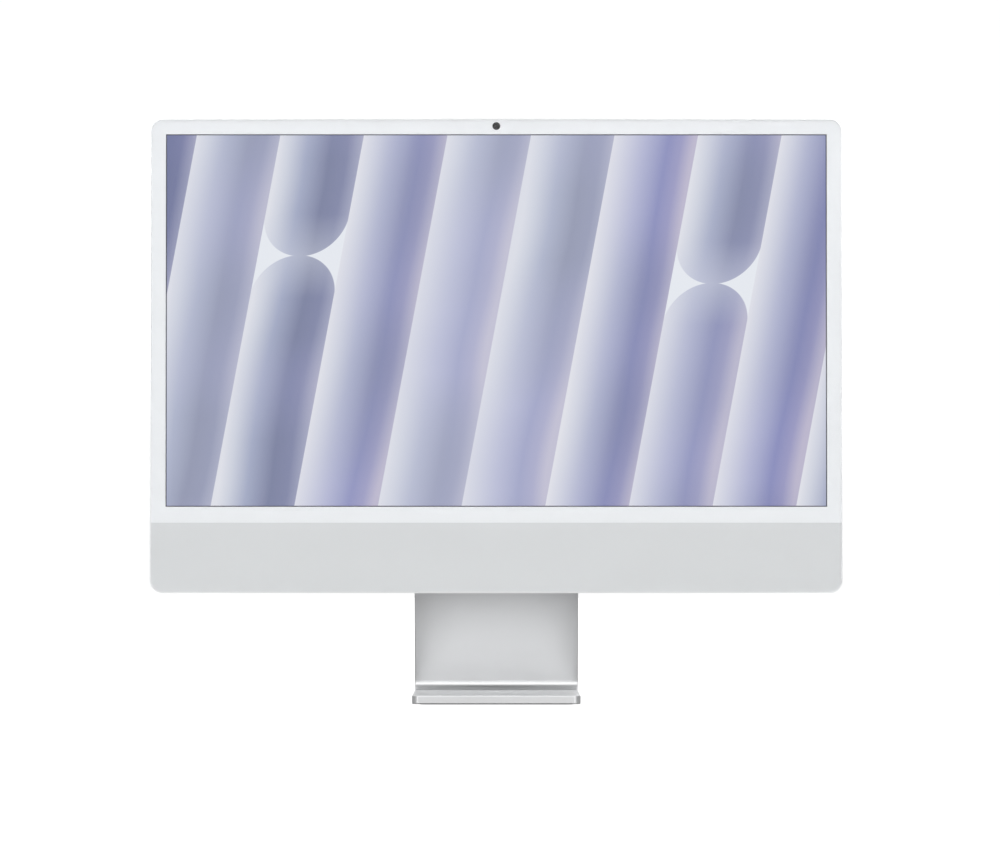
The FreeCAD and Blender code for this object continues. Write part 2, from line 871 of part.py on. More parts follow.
def light_strip():
    """LED strip along the bottom of the tray."""
    board_z = span(cell_bottom + 0.3 + strip_height / 2, strip_height)
    board = box(span(0, cell_width - 2.0), depths(tray_floor - 0.4, tray_floor), board_z)
    run = cell_width - 12.0
    pitch = run / (lamp_count - 1)
    lamps = []
    for i in range(lamp_count):
        x = span(-run / 2 + i * pitch, lamp_size)
        lamps.append(box(x, depths(tray_floor - 1.0, tray_floor - 0.3), span(cell_bottom + 2.6, 1.0)))
    return joined([board] + lamps)


def backlight_tray():
    """Thin steel tray that holds the panel's layers."""
    outer = screen_block(tray_reach, depths(mask_depth + glue_gap, tray_depth))
    return outer.cut(screen_block(glue_gap, depths(0, tray_floor)))


def timing_board():
    """Panel driver board, fixed behind the tray's lower edge."""
    sheet = 0.6
    z = span(bay_high + 7.0, 8.0)
    middle = -(board_outer - 10.0)
    pieces = [box(span(middle, 110.0), depths(tray_depth, tray_depth + sheet), z)]
    for shift in (-35.0, 0.0, 35.0):
        chip_y = depths(tray_depth + sheet - 0.1, tray_depth + sheet + 0.7)
        pieces.append(box(span(middle + shift, 8.0), chip_y, span(bay_high + 7.6, 5.0)))
    return joined(pieces)


def shield_plate():
    """Aluminium stiffener behind the right half of the panel, with raised ribs."""
    x, z = shield_outline()
    middle_x, middle_z = (x[0] + x[1]) / 2, (z[0] + z[1]) / 2
    pieces = [slab(x, depths(shield_front, shield_front + shield_sheet), z, 6.0)]
    for shift in (-60.0, 0.0, 60.0):
        rib_y = depths(shield_front, shield_front + shield_rib)
        pieces.append(racetrack(middle_x, rib_y, middle_z + shift, x[1] - x[0] - 40.0, 8.0))
    return less(joined(pieces), screw_holes(on_side(shield_screw_places(), 1)))


def shield_plates():
    return group([shield_plate(), mirrored(shield_plate())])


# ---------------------------------------------------------------- camera and microphones
camera_z = case_top - camera_drop
camera_back = bay_front + camera_board_sheet


def camera_module():
    """Black barrel behind the window in the white border."""
    width = 2 * camera_barrel
    barrel = tube("y", camera_barrel, camera_mouth, (0, camera_z), depths(glass_thickness + fit, bay_front))
    base = box(span(0, width), depths(bay_front - 0.6, camera_back), span(camera_z, width))
    return joined([barrel, base])


def camera_lens():
    """Small domed lens in the barrel's mouth."""
    radius = camera_mouth - fit
    centre = Vector(0, front_y + glass_thickness + 0.2 + camera_dome, camera_z)
    dome = Part.makeSphere(camera_dome, centre)
    lens_body = rod("y", radius, (0, camera_z), depths(glass_thickness, bay_front - 0.6 - fit))
    rear_half = rod("y", radius, (0, camera_z), (centre.y - 1.0, front_y + bay_front - 0.6 - fit))
    return joined([dome.common(lens_body), rear_half])


def camera_board():
    z = (camera_z - camera_barrel, case_top - side_wall - glue_gap)
    board = box(span(0, camera_board_width), depths(camera_back, camera_back + camera_board_sheet), z)
    sensor = box(span(9.0, 2.0), depths(bay_front + 0.2, camera_back + 0.1), span(camera_z, 2.0))
    chip_y = depths(camera_back + camera_board_sheet - 0.1, camera_back + 1.5)
    return joined([board, sensor, box(span(-9.0, 4.0), chip_y, span(camera_z, 3.0))])


def camera_flex():
    """Flat flex from the camera board, behind the panel and past the hinge, to the main board."""
    behind = depths(tray_depth + glue_gap, tray_depth + glue_gap + flex_sheet)
    turn_x = -(board_inner + 12.0)
    across_z = camera_z - 12.0
    top = camera_z - camera_barrel
    half = flex_width / 2
    board_rear = camera_back + camera_board_sheet
    pieces = [
        box((-half, half), depths(tray_depth + glue_gap, board_rear), (top - flex_sheet, top)),
        box((-half, half), behind, (across_z - half, top)),
        box((turn_x - half, half), behind, span(across_z, flex_width)),
        box(span(turn_x, flex_width), behind, (bay_high - 2.0, across_z + half)),
    ]
    return joined(pieces)


def display_flex():
    """Flat flex between the panel's driver board and the main board."""
    y = depths(tray_depth + 0.6, tray_depth + 0.6 + flex_sheet)
    return box(span(display_socket_x, 18.0), y, (bay_high - 4.0, bay_high + 4.4))


def flex_leads():
    return group([camera_flex(), display_flex()])


def microphones():
    """Microphones behind small holes in the top edge."""
    z = (case_top - side_wall - microphone_tall, case_top - side_wall)
    return group(box(span(x, microphone_long), span(y, microphone_deep), z) for x, y in microphone_places())


# ---------------------------------------------------------------- boards in the chin
display_socket_x = -(board_outer - 18.0)
coax_x = -(leaf_width / 2 + plate_overhang + 3.3)


def board_plate(side):
    """A bare board; side is -1 on the left and 1 on the right."""
    x = sorted((side * board_inner, side * board_outer))
    plate = slab(x, depths(bay_front, board_back), (board_low, bay_high), board_corner)
    return less(plate, screw_holes(on_side(board_screw_places(), side)))


def logic_board():
    """Main circuit board, with its small parts and sockets on the rear side."""
    root = board_back - 0.1
    outer = -board_outer
    low, high = depths(root, board_back + 0.7), depths(root, board_back + 1.4)
    pieces = [board_plate(-1)]
    for i in range(8):
        pieces.append(box(span(outer + 10 + i * 5.0, 2.4), low, span(bay_high - 9.0, 1.6)))
    for i in range(5):
        pieces.append(box(span(outer + 12 + i * 8.0, 4.0), high, span(bay_high - 17.0, 3.6)))
    socket_z = (bay_high - 5.0, bay_high - 1.0)
    pieces.append(box(span(display_socket_x, 20.0), depths(root, tray_depth + 0.6), socket_z))
    pieces.append(box(span(coax_x, 2.4), depths(root, board_back + 0.6), (bay_high - 2.5, bay_high - 0.3)))
    return joined(pieces)


def processor():
    """Processor die under its lid, on its carrier."""
    step = board_back + chip_height / 2
    carrier = box(span(chip_x, chip_carrier), depths(board_back, step), span(chip_z, chip_carrier))
    lid = box(span(chip_x, chip_lid), depths(step - 0.1, spreader_front), span(chip_z, chip_lid))
    return joined([carrier, lid])


def memory_chips():
    """Two memory packages beside the processor and two storage packages under it."""
    y = depths(board_back, board_back + 0.9)
    memory = [box(span(chip_x - 15.0, 7.0), y, span(chip_z + shift, 9.0)) for shift in (-5.5, 5.5)]
    storage = [box(span(chip_x + shift, 10.0), y, span(chip_z - 17.5, 9.0)) for shift in (-6.0, 6.0)]
    return group(memory + storage)


def radio_can():
    """Screened radio module at the top of the main board."""
    y = depths(board_back, board_back + 1.6)
    return slab(span(chip_x + 1.0, 12.0), y, span(bay_high - 8.0, 7.0), 0.8)


def heat_spreader():
    return slab(span(chip_x, 24.0), depths(spreader_front, pipe_front), span(chip_z, 20.0), 1.5)


def heat_pipe():
    """Flattened copper pipe from the processor down and across to the fins."""
    y = depths(pipe_front, pipe_front + pipe_thickness)
    fin_z = fin_low + fin_height / 2
    x_end = -(fan_x - fan_size / 2 + 3.0)
    outer_x = chip_x - pipe_width / 2
    down = box(span(chip_x, pipe_width), y, (fin_z - pipe_width / 2, chip_z + 9.0))
    bent = joined([down, box((outer_x, x_end), y, span(fin_z, pipe_width))])
    corner = [e for e in edges_along(bent, Y_AXIS) if e.BoundBox.XMax < outer_x + 0.01]
    corner = [e for e in corner if e.BoundBox.ZMin < fin_z]
    return bent.makeFillet(pipe_width - 0.5, corner)


def fin_stack(side):
    """Comb of aluminium fins between a fan and the vents under it."""
    x = span(side * fan_x, fan_size)
    z = (fin_low, fin_top)
    rail = box(x, depths(bay_back - 0.6, bay_back), z)
    count = int(fan_size / fin_pitch)
    pitch = (fan_size - fin_sheet) / (count - 1)
    starts = [x[0] + i * pitch for i in range(count)]
    return joined([rail] + [box((u, u + fin_sheet), depths(bay_front, bay_back), z) for u in starts])


def fin_stacks():
    """The left one is cut out for the heat pipe."""
    return group([fin_stack(-1).cut(heat_pipe()), fin_stack(1)])


def power_board():
    """Supply board, with the socket for the leads from the inlet."""
    socket_x = (board_inner + 1.0, board_inner + 7.0)
    socket = box(socket_x, depths(board_back - 0.1, board_back + 3.0), span(inlet_z, 12.0))
    return joined([board_plate(1), socket])


def power_parts():
    """Coils and capacitors of the supply."""
    can_y = depths(board_back, bay_back - 0.8)
    coil_y = depths(board_back, bay_back - 1.2)
    coil_z, can_z = bay_high - 16.0, bay_high - 29.0
    coils = []
    cans = []
    for i in range(4):
        coils.append(slab(span(board_inner + 20 + 11 * i, 9.0), coil_y, span(coil_z, 9.0), 1.5))
        cans.append(rod("y", 3.1, (board_inner + 18 + 8 * i, can_z), can_y))
    return group(coils + cans)


def coin_place():
    return (board_outer - 14.0, board_low + 15.0)


def clock_cell():
    seat = board_back + coin_seat
    return rod("y", coin_radius, coin_place(), depths(seat, seat + coin_thickness))


def clock_cell_holder():
    """Open ring with a gap for a fingernail."""
    x, z = coin_place()
    seat = board_back + coin_seat
    cup = rod("y", coin_radius + 1.2, (x, z), depths(board_back, seat + coin_thickness - 0.4))
    room = rod("y", coin_radius + fit, (x, z), depths(seat, case_depth))
    gap = box(span(x, 5.0), depths(seat, case_depth), (z, z + coin_radius + 2))
    return less(cup, [room, gap])


# ---------------------------------------------------------------- ports, inlet, jack
def data_ports():
    """Metal port shells on the main board, reaching through the rear wall."""
    shells = []
    for place in port_places():
        shell = port_solid(place, 0, depths(board_back, case_depth))
        shells.append(shell.cut(port_solid(place, -port_wall, depths(board_back + 1.0, case_depth + 1))))
    return group(shells)


def port_tongues():
    """The thin contact tongue in the middle of each port."""
    y = depths(board_back + 1.0, case_depth - 1.0)
    return group(box(span(x, 0.7), y, span(z, port_height - 2.4)) for x, z in port_places())


def contact_places():
    """One contact in the middle of the inlet and four round it."""
    places = [(0.0, inlet_z)]
    for i in range(4):
        angle = math.radians(45 + 90 * i)
        places.append((contact_circle * math.cos(angle), inlet_z + contact_circle * math.sin(angle)))
    return places


def power_inlet():
    """Round recess that a plug is held in by magnets."""
    place = (0, inlet_z)
    floor = case_depth - inlet_depth
    barrel = rod("y", inlet_bore + inlet_wall, place, depths(floor - inlet_floor, case_depth))
    flange_y = depths(inner_back - 1.2, inner_back)
    flange = slab(span(0, inlet_bay - 2 * bay_gap), flange_y, span(inlet_z, inlet_bay + 4.0), 4.0)
    tools = [rod("y", inlet_bore, place, depths(floor, case_depth + 1))]
    tools += [rod("y", contact_radius + fit, p, depths(floor - 2, case_depth)) for p in contact_places()]
    return less(joined([barrel, flange]), tools)


def inlet_contacts():
    floor = case_depth - inlet_depth
    return group(rod("y", contact_radius, p, depths(floor - contact_length, floor)) for p in contact_places())


def headphone_jack():
    """Socket for a 3.5 mm plug, open in the left side of the case."""
    mouth = -half_case
    x = (mouth + side_wall + glue_gap, mouth + jack_length + 1.5)
    centre = jack_centre()
    body = box(x, span(centre[0], bay_back - bay_front - 0.2), span(centre[1], jack_height))
    barrel = rod("x", jack_barrel, centre, (mouth, x[1]))
    bore = rod("x", jack_bore, centre, (mouth - 1, mouth + jack_length))
    return joined([body, barrel]).cut(bore)


# ---------------------------------------------------------------- power button
def power_button():
    """Round cap in the rear wall, with a rim inside that keeps it in."""
    place = button_place()
    cap = rod("y", button_radius, place, depths(button_front, case_depth + button_proud))
    edge = [e for e in cap.Edges if e.BoundBox.YMin > rear_y + button_proud - 0.01]
    cap = cap.makeFillet(0.6, edge)
    return joined([cap, rod("y", button_radius + button_rim, place, depths(button_front, button_back))])


def button_switch():
    """Dome switch and its bracket, under the cap."""
    x, z = button_place()
    dome_back = button_front - button_travel - glue_gap
    post = (button_radius + button_rim + 0.3) / math.sqrt(2) + 1.5
    plate_z = span(z, 2 * post + 3.0)
    plate = slab(span(x, 2 * post + 3.0), depths(dome_back - 1.8, dome_back - 0.9), plate_z, 1.4)
    pieces = [plate, rod("y", 3.0, (x, z), depths(dome_back - 1.0, dome_back))]
    for dx in (-post, post):
        for dz in (-post, post):
            pieces.append(box(span(x + dx, 3.0), depths(dome_back - 1.0, inner_back), span(z + dz, 3.0)))
    return joined(pieces).cut(box(span(x, case_width), depths(dome_back, inner_back), (0, board_low)))


# ---------------------------------------------------------------- fans
def fan_housing(side):
    """Flat blower housing, open at the bottom to the fins, with a round inlet in its rear plate."""
    centre = (side * fan_x, fan_z)
    x, z = span(centre[0], fan_size), span(fan_z, fan_size)
    inside = depths(bay_front + fan_sheet, bay_back - fan_sheet)
    sweep = rod("y", wheel_radius + wheel_gap, centre, inside)
    outlet = box((x[0] + fan_wall, x[1] - fan_wall), inside, (z[0] - 1, fan_z))
    inlet = rod("y", wheel_radius * 0.66, centre, depths(bay_back - 2, bay_back + 1))
    body = slab(x, depths(bay_front, bay_back), z, 3.0)
    places = on_side(fan_screw_places(), side)
    pads = lug_pads(places, depths(bay_front, bay_back))
    shell = joined([less(body, [sweep, outlet, inlet])] + pads)
    post = rod("y", 2.4, centre, depths(bay_front, wheel_back - hub_wall - hub_gap))
    bearing = rod("y", shaft_radius + running, centre, depths(bay_front + 0.4, case_depth))
    return less(joined([shell, post]), [bearing] + screw_holes(places) + lug_rooms(places))


def wheel_blade(centre):
    """One curved blade between the hub and the rim."""
    root = hub_radius - hub_wall / 2
    sides = []
    for shift in (-wheel_blade_sheet / 2, wheel_blade_sheet / 2):
        points = []
        for share in (0, 0.5, 1):
            radius = root + share * (wheel_radius - root)
            angle = math.radians(wheel_sweep) * share ** 0.8 + shift / radius
            x, z = centre[0] + radius * math.cos(angle), centre[1] + radius * math.sin(angle)
            points.append(Vector(x, front_y + wheel_front, z))
        sides.append(points)
    low, high = sides
    edges = [
        Part.Arc(*low).toShape(),
        Part.LineSegment(low[2], high[2]).toShape(),
        Part.Arc(*reversed(high)).toShape(),
        Part.LineSegment(high[0], low[0]).toShape(),
    ]
    return Part.Face(Part.Wire(edges)).extrude(Y_AXIS * (wheel_back - wheel_front))


def fan_wheel(side):
    """Hub, shaft, curved blades and the ring that ties their tips."""
    centre = (side * fan_x, fan_z)
    hub = rod("y", hub_radius, centre, depths(wheel_front, wheel_back))
    hollow = rod("y", hub_radius - hub_wall, centre, depths(wheel_front - 1, wheel_back - hub_wall))
    shaft = rod("y", shaft_radius, centre, depths(bay_front + 0.6, wheel_back - hub_wall / 2))
    ring = tube("y", wheel_radius, wheel_radius - wheel_ring, centre, depths(wheel_front, wheel_front + 0.9))
    pieces = [hub.cut(hollow), shaft, ring]
    first = wheel_blade(centre)
    for i in range(wheel_blades):
        blade = first.copy()
        blade.rotate(Vector(centre[0], 0, centre[1]), Y_AXIS, 360.0 * i / wheel_blades)
        pieces.append(blade)
    trim = rod("y", wheel_radius, centre, depths(0, wheel_back + 1))
    return joined(pieces).common(trim)


# ---------------------------------------------------------------- speakers
cone_x = (cone_low_x + cone_high_x) / 2
cone_z = (board_low + speaker_high) / 2
tweeter_z = bay_high - 18.0


def speaker_box(side):
    """Sealed speaker box, with a rib that carries the magnet between its two woofers."""
    x = sorted((side * speaker_inner, side * speaker_outer))
    z = (board_low, speaker_high)
    wall = speaker_wall
    body = slab(x, depths(bay_front, bay_back), z, 3.0)
    room_y = depths(bay_front + wall, bay_back - wall)
    room = slab((x[0] + wall, x[1] - wall), room_y, (z[0] + wall, z[1] - wall), 2.0)
    mouth = woofer_outline(side, surround, right_through())
    tweeter = rod("y", tweeter_radius + fit, (side * tweeter_x, tweeter_z), depths(0, bay_front + wall + 0.1))
    places = on_side(speaker_screw_places(), side)
    pads = [pad.common(body) for pad in lug_pads(places, depths(bay_front, bay_back))]
    rib_z = (z[0] + wall / 2, z[1] - wall / 2)
    rib = box(span(side * cone_x, 4.0), span(front_y + bay_middle_depth, wall), rib_z)
    magnet_hole = rod("y", coil_radius - coil_sheet - bay_gap, (side * cone_x, cone_z), right_through())
    shell = joined([less(body, [room, mouth, tweeter]), rib.cut(magnet_hole)] + pads)
    return less(shell, screw_holes(places) + lug_rooms(places))


def woofer_outline(side, grow, y):
    """The woofer's racetrack, grown all round."""
    return racetrack(side * cone_x, y, cone_z, cone_length + 2 * grow, cone_height + 2 * grow)


def speaker_magnets():
    """Disc magnets, one between each pair of woofers."""
    radius = coil_radius - coil_sheet - bay_gap
    y = span(front_y + bay_middle_depth, magnet_thickness)
    return group(rod("y", radius, (side * cone_x, cone_z), y) for side in (-1, 1))


def woofer_surrounds():
    """Rubber rings that seal each woofer cone to its box."""
    rings = []
    for side in (-1, 1):
        for front in (bay_front, bay_back - speaker_wall):
            outer = woofer_outline(side, surround, depths(front, front + speaker_wall))
            rings.append(outer.cut(woofer_outline(side, cone_gap, right_through())))
    return group(rings)


def woofer_cone(side, facing):
    """Stiff racetrack cone with its coil former behind. facing is -1 to the front and 1 to the rear."""

    def inwards(near, far):
        """y range of a stretch at these distances from the box's outer face."""
        if facing < 0:
            return depths(bay_front + near, bay_front + far)
        return depths(bay_back - far, bay_back - near)

    plate = woofer_outline(side, 0, inwards(cone_inset, cone_inset + cone_sheet))
    rib_face = (bay_back - bay_front - speaker_wall) / 2
    former_y = inwards(cone_inset + cone_sheet - 0.1, rib_face - cone_travel - glue_gap)
    former = tube("y", coil_radius, coil_radius - coil_sheet, (side * cone_x, cone_z), former_y)
    return joined([plate, former])


def tweeters():
    """Small dome drivers in the front of each box."""
    drivers = []
    for side in (-1, 1):
        place = (side * tweeter_x, tweeter_z)
        body = rod("y", tweeter_radius, place, depths(bay_front, bay_front + tweeter_depth))
        dish_radius = tweeter_radius - 1.8
        dish = rod("y", dish_radius, place, depths(bay_front - 1, bay_front + 1.0))
        centre = Vector(place[0], front_y + bay_front + 0.2 + 2 * dish_radius, place[1])
        dome = Part.makeSphere(2 * dish_radius, centre)
        dome = dome.common(rod("y", dish_radius - 1.0, place, depths(bay_front, bay_front + 1.1)))
        drivers.append(joined([body.cut(dish), dome]))
    return group(drivers)


# ---------------------------------------------------------------- aerials and inner leads
def aerials():
    """Radio aerials: one behind the window and one at the far end of the chin."""
    back = inner_back - window_seat_height
    upper = slab(span(0, 24.0), depths(back - aerial_sheet, back), span(window_z, 14.0), 1.5)
    corner_x = half_case - side_wall - side_zone / 2
    lower_y = depths(inner_back - aerial_sheet, inner_back)
    lower = slab(span(corner_x, 14.0), lower_y, span(bay_middle, 30.0), 1.5)
    return group([upper, lower])


def aerial_coax():
    """Thin coaxial lead from the window's aerial to the main board, past the end of the hinge plate."""
    rear = front_y + inner_back - window_seat_height - aerial_sheet / 2
    front = front_y + board_back + 0.6 + coax_radius
    points = [
        Vector(-12.0, rear, window_z),
        Vector(coax_x, rear, window_z),
        Vector(coax_x, rear, bay_high + 34.0),
        Vector(coax_x, front, bay_high + 22.0),
        Vector(coax_x, front, bay_high - 2.0),
    ]
    return lead(points, coax_radius, coax_bend)


def inlet_wire(place):
    """A stiff conductor from an inlet contact, over the front of the right-hand fan, to the power board."""
    x, z = place
    over = front_y + bay_front - wire_radius - ledge_gap
    points = [
        Vector(x, front_y + case_depth - inlet_depth - contact_length, z),
        Vector(x, over, z),
        Vector(board_inner + 4.0, over, z),
        Vector(board_inner + 4.0, front_y + bay_front, z),
    ]
    return lead(points, wire_radius, wire_bend)


def inner_leads():
    wires = [inlet_wire(place) for place in contact_places() if place[0] > contact_radius]
    return group(wires + [aerial_coax()])


# ---------------------------------------------------------------- build
def all_parts():
    """Every node of the object, by the name of its file."""
    parts = {
        "stand_blade": stand_blade(),
        "foot_pad": foot_pad(),
        "neck_hinge_leaf": neck_hinge_leaf(),
        "neck_leaf_screws": neck_leaf_screws(),
        "friction_clips": friction_clips(),
        "hinge_pin": hinge_pin(),
        "case_hinge_plate": case_hinge_plate(),
        "case_screws": case_screws(),
        "rear_case": rear_case(),
        "aerial_window": aerial_window(),
        "cover_glass": cover_glass(),
        "bezel_mask": bezel_mask(),
        "chin_mask": chin_mask(),
        "glass_adhesive": glass_adhesive(),
        "display_cell": display_cell(),
        "diffuser_sheets": diffuser_sheets(),
        "light_guide": light_guide(),
        "light_strip": light_strip(),
        "backlight_tray": backlight_tray(),
        "timing_board": timing_board(),
        "shield_plates": shield_plates(),
        "camera_module": camera_module(),
        "camera_lens": camera_lens(),
        "camera_board": camera_board(),
        "flex_leads": flex_leads(),
        "microphones": microphones(),
        "logic_board": logic_board(),
        "processor": processor(),
        "memory_chips": memory_chips(),
        "radio_can": radio_can(),
        "heat_spreader": heat_spreader(),
        "heat_pipe": heat_pipe(),
        "fin_stacks": fin_stacks(),
        "power_board": power_board(),
        "power_parts": power_parts(),
        "clock_cell": clock_cell(),
        "clock_cell_holder": clock_cell_holder(),
        "data_ports": data_ports(),
        "port_tongues": port_tongues(),
        "power_inlet": power_inlet(),
        "inlet_contacts": inlet_contacts(),
        "headphone_jack": headphone_jack(),
        "power_button": power_button(),
        "button_switch": button_switch(),
        "speaker_magnets": speaker_magnets(),
        "woofer_surrounds": woofer_surrounds(),
        "tweeters": tweeters(),
        "aerials": aerials(),
        "inner_leads": inner_leads(),
    }
    for hand, side in (("left", -1), ("right", 1)):
        parts[f"fan_housing_{hand}"] = fan_housing(side)
        parts[f"fan_wheel_{hand}"] = fan_wheel(side)
        parts[f"speaker_box_{hand}"] = speaker_box(side)
        parts[f"woofer_front_{hand}"] = woofer_cone(side, -1)
        parts[f"woofer_rear_{hand}"] = woofer_cone(side, 1)
    return parts


def main():
    os.makedirs("parts", exist_ok=True)
    for name, shape in all_parts().items():
        shape.exportStep(f"parts/{name}.step")
    print(f"neck lean {math.degrees(lean):.2f} degrees, hinge at y {hinge_y:.2f} z {hinge_z:.2f}")
    print(f"fans {fan_size:.1f} wide, woofers {cone_length:.1f} long")


main()
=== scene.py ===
# %% [markdown]
# # A desktop all-in-one computer, dressed in Blender
# The CAD model of this computer already has every part at its true size: the bent aluminium blade it
# stands on, the thin case, the sheet of glass, and the boards, fans and speakers inside. This script loads
# that model as a fixed frame, gives each part the finish the real one has, models the few pieces that
# need a finer shape, and sets up a camera, a floor and soft studio light. Lengths are in metres, the
# screen faces -Y and Z is up.

# %% The frame
import math

import bmesh
import bpy
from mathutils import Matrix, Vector


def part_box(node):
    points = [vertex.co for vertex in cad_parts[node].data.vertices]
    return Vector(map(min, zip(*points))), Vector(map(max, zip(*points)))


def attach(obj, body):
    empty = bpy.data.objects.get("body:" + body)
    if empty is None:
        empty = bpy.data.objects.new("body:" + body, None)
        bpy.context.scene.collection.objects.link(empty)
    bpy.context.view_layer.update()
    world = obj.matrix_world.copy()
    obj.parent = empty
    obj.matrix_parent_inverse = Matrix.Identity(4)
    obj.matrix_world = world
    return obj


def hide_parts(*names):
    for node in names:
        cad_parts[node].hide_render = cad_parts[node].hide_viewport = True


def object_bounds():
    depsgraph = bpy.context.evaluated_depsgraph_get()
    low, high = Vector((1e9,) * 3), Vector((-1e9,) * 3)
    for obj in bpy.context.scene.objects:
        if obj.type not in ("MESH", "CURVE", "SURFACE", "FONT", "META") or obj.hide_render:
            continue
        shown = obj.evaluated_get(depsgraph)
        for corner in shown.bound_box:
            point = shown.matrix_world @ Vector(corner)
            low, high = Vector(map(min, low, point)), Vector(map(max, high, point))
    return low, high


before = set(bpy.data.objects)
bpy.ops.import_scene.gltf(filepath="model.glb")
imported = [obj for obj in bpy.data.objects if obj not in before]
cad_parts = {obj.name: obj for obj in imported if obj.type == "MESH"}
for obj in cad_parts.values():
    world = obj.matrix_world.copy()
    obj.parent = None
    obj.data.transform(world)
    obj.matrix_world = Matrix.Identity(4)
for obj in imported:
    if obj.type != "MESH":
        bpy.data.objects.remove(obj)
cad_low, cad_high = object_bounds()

print("CAD nodes:", len(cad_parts), "box:", tuple(cad_low), tuple(cad_high))

# %% [markdown]
# ## The camera
# Product pictures are taken from far away with a long lens, so that the sides of a case stay parallel.
# The camera stands 3.8 m in front of the toe of the foot, low over the table, and looks up by about a
# degree, which is too little to make the uprights lean.

# %% The camera
MILLIMETRE = 0.001
CAMERA_AWAY = 3.8
CAMERA_HEIGHT = 0.14
CAMERA_ASIDE = 0.0029
CAMERA_RISE = 1.078
camera_data = bpy.data.cameras.new("camera")
camera_data.sensor_width = 36.0
camera_data.lens = 175.65
camera_data.clip_end = 60.0
camera = bpy.data.objects.new("camera", camera_data)
bpy.context.scene.collection.objects.link(camera)
camera.location = (CAMERA_ASIDE, cad_low.y - CAMERA_AWAY, CAMERA_HEIGHT)
camera.rotation_euler = (math.radians(90.0 + CAMERA_RISE), 0.0, 0.0)
bpy.context.scene.camera = camera
bpy.context.scene.view_settings.view_transform = "Standard"
print("camera at", tuple(camera.location), "lens", camera_data.lens)

# %% [markdown]
# ## Small helpers for nodes
# A material is a graph of nodes. Placing and linking them one by one takes many lines, so a few helpers do
# it. They add a node and fill its sockets, do arithmetic, mix two colours, run a colour along a ramp and
# start an empty node group. One more turns a colour as it looks on a display into the linear light that
# the renderer works in.


# %% Helpers for nodes
def add_node(tree, kind, inputs=None, **settings):
    """Adds a node. inputs maps socket names or numbers to values or to other nodes' output sockets."""
    node = tree.nodes.new(kind)
    for setting, value in settings.items():
        setattr(node, setting, value)
    for socket, value in (inputs or {}).items():
        if isinstance(value, bpy.types.NodeSocket):
            tree.links.new(value, node.inputs[socket])
        else:
            node.inputs[socket].default_value = value
    return node


def sums(tree, operation, *values):
    """The result of one arithmetic operation on numbers or sockets."""
    return add_node(tree, "ShaderNodeMath", dict(enumerate(values)), operation=operation).outputs[0]


def light_of(red, green, blue):
    """The linear colour of a display colour whose parts run from 0 to 1."""
    shown = (red, green, blue)
    parts = [part / 12.92 if part <= 0.04045 else ((part + 0.055) / 1.055) ** 2.4 for part in shown]
    return (*parts, 1.0)


def blend_of(tree, share, first, second):
    """A colour between two, by a share from 0 to 1."""
    node = add_node(tree, "ShaderNodeMix", data_type="RGBA")
    for socket, value in zip((node.inputs[0], node.inputs[6], node.inputs[7]), (share, first, second)):
        if isinstance(value, bpy.types.NodeSocket):
            tree.links.new(value, socket)
        else:
            socket.default_value = value
    return node.outputs[2]


def ramp_of(tree, share, stops):
    """A colour ramp through (place, colour) stops."""
    node = add_node(tree, "ShaderNodeValToRGB", {0: share})
    elements = node.color_ramp.elements
    while len(elements) < len(stops):
        elements.new(0.5)
    for element, (place, colour) in zip(elements, stops):
        element.position = place
        element.color = colour
    return node.outputs[0]


def new_group(name, inputs, outputs):
    """An empty node group. Inputs are (name, kind, default), and outputs are (name, kind)."""
    tree = bpy.data.node_groups.new(name, "ShaderNodeTree")
    for label, kind, default in inputs:
        socket = tree.interface.new_socket(label, in_out="INPUT", socket_type=kind)
        socket.default_value = default
    for label, kind in outputs:
        tree.interface.new_socket(label, in_out="OUTPUT", socket_type=kind)
    return tree, tree.nodes.new("NodeGroupInput").outputs, tree.nodes.new("NodeGroupOutput")


print("light of mid grey:", light_of(0.5, 0.5, 0.5)[0])

# %% [markdown]
# ## A finish that many parts share
# No made surface is one even colour. Blasted metal, moulded plastic and printed ink all have a grain that
# catches the light, and broader patches where the finish is a little duller. One node group makes both from
# noise in object coordinates, and every material places it with its own grain size. A long grain along
# one axis makes the drawn look of sheet metal, so the group takes a stretch for each axis.


# %% The shared finish
FLOAT, COLOUR, VECTOR = "NodeSocketFloat", "NodeSocketColor", "NodeSocketVector"
GRAIN_IN_COLOUR = 0.25


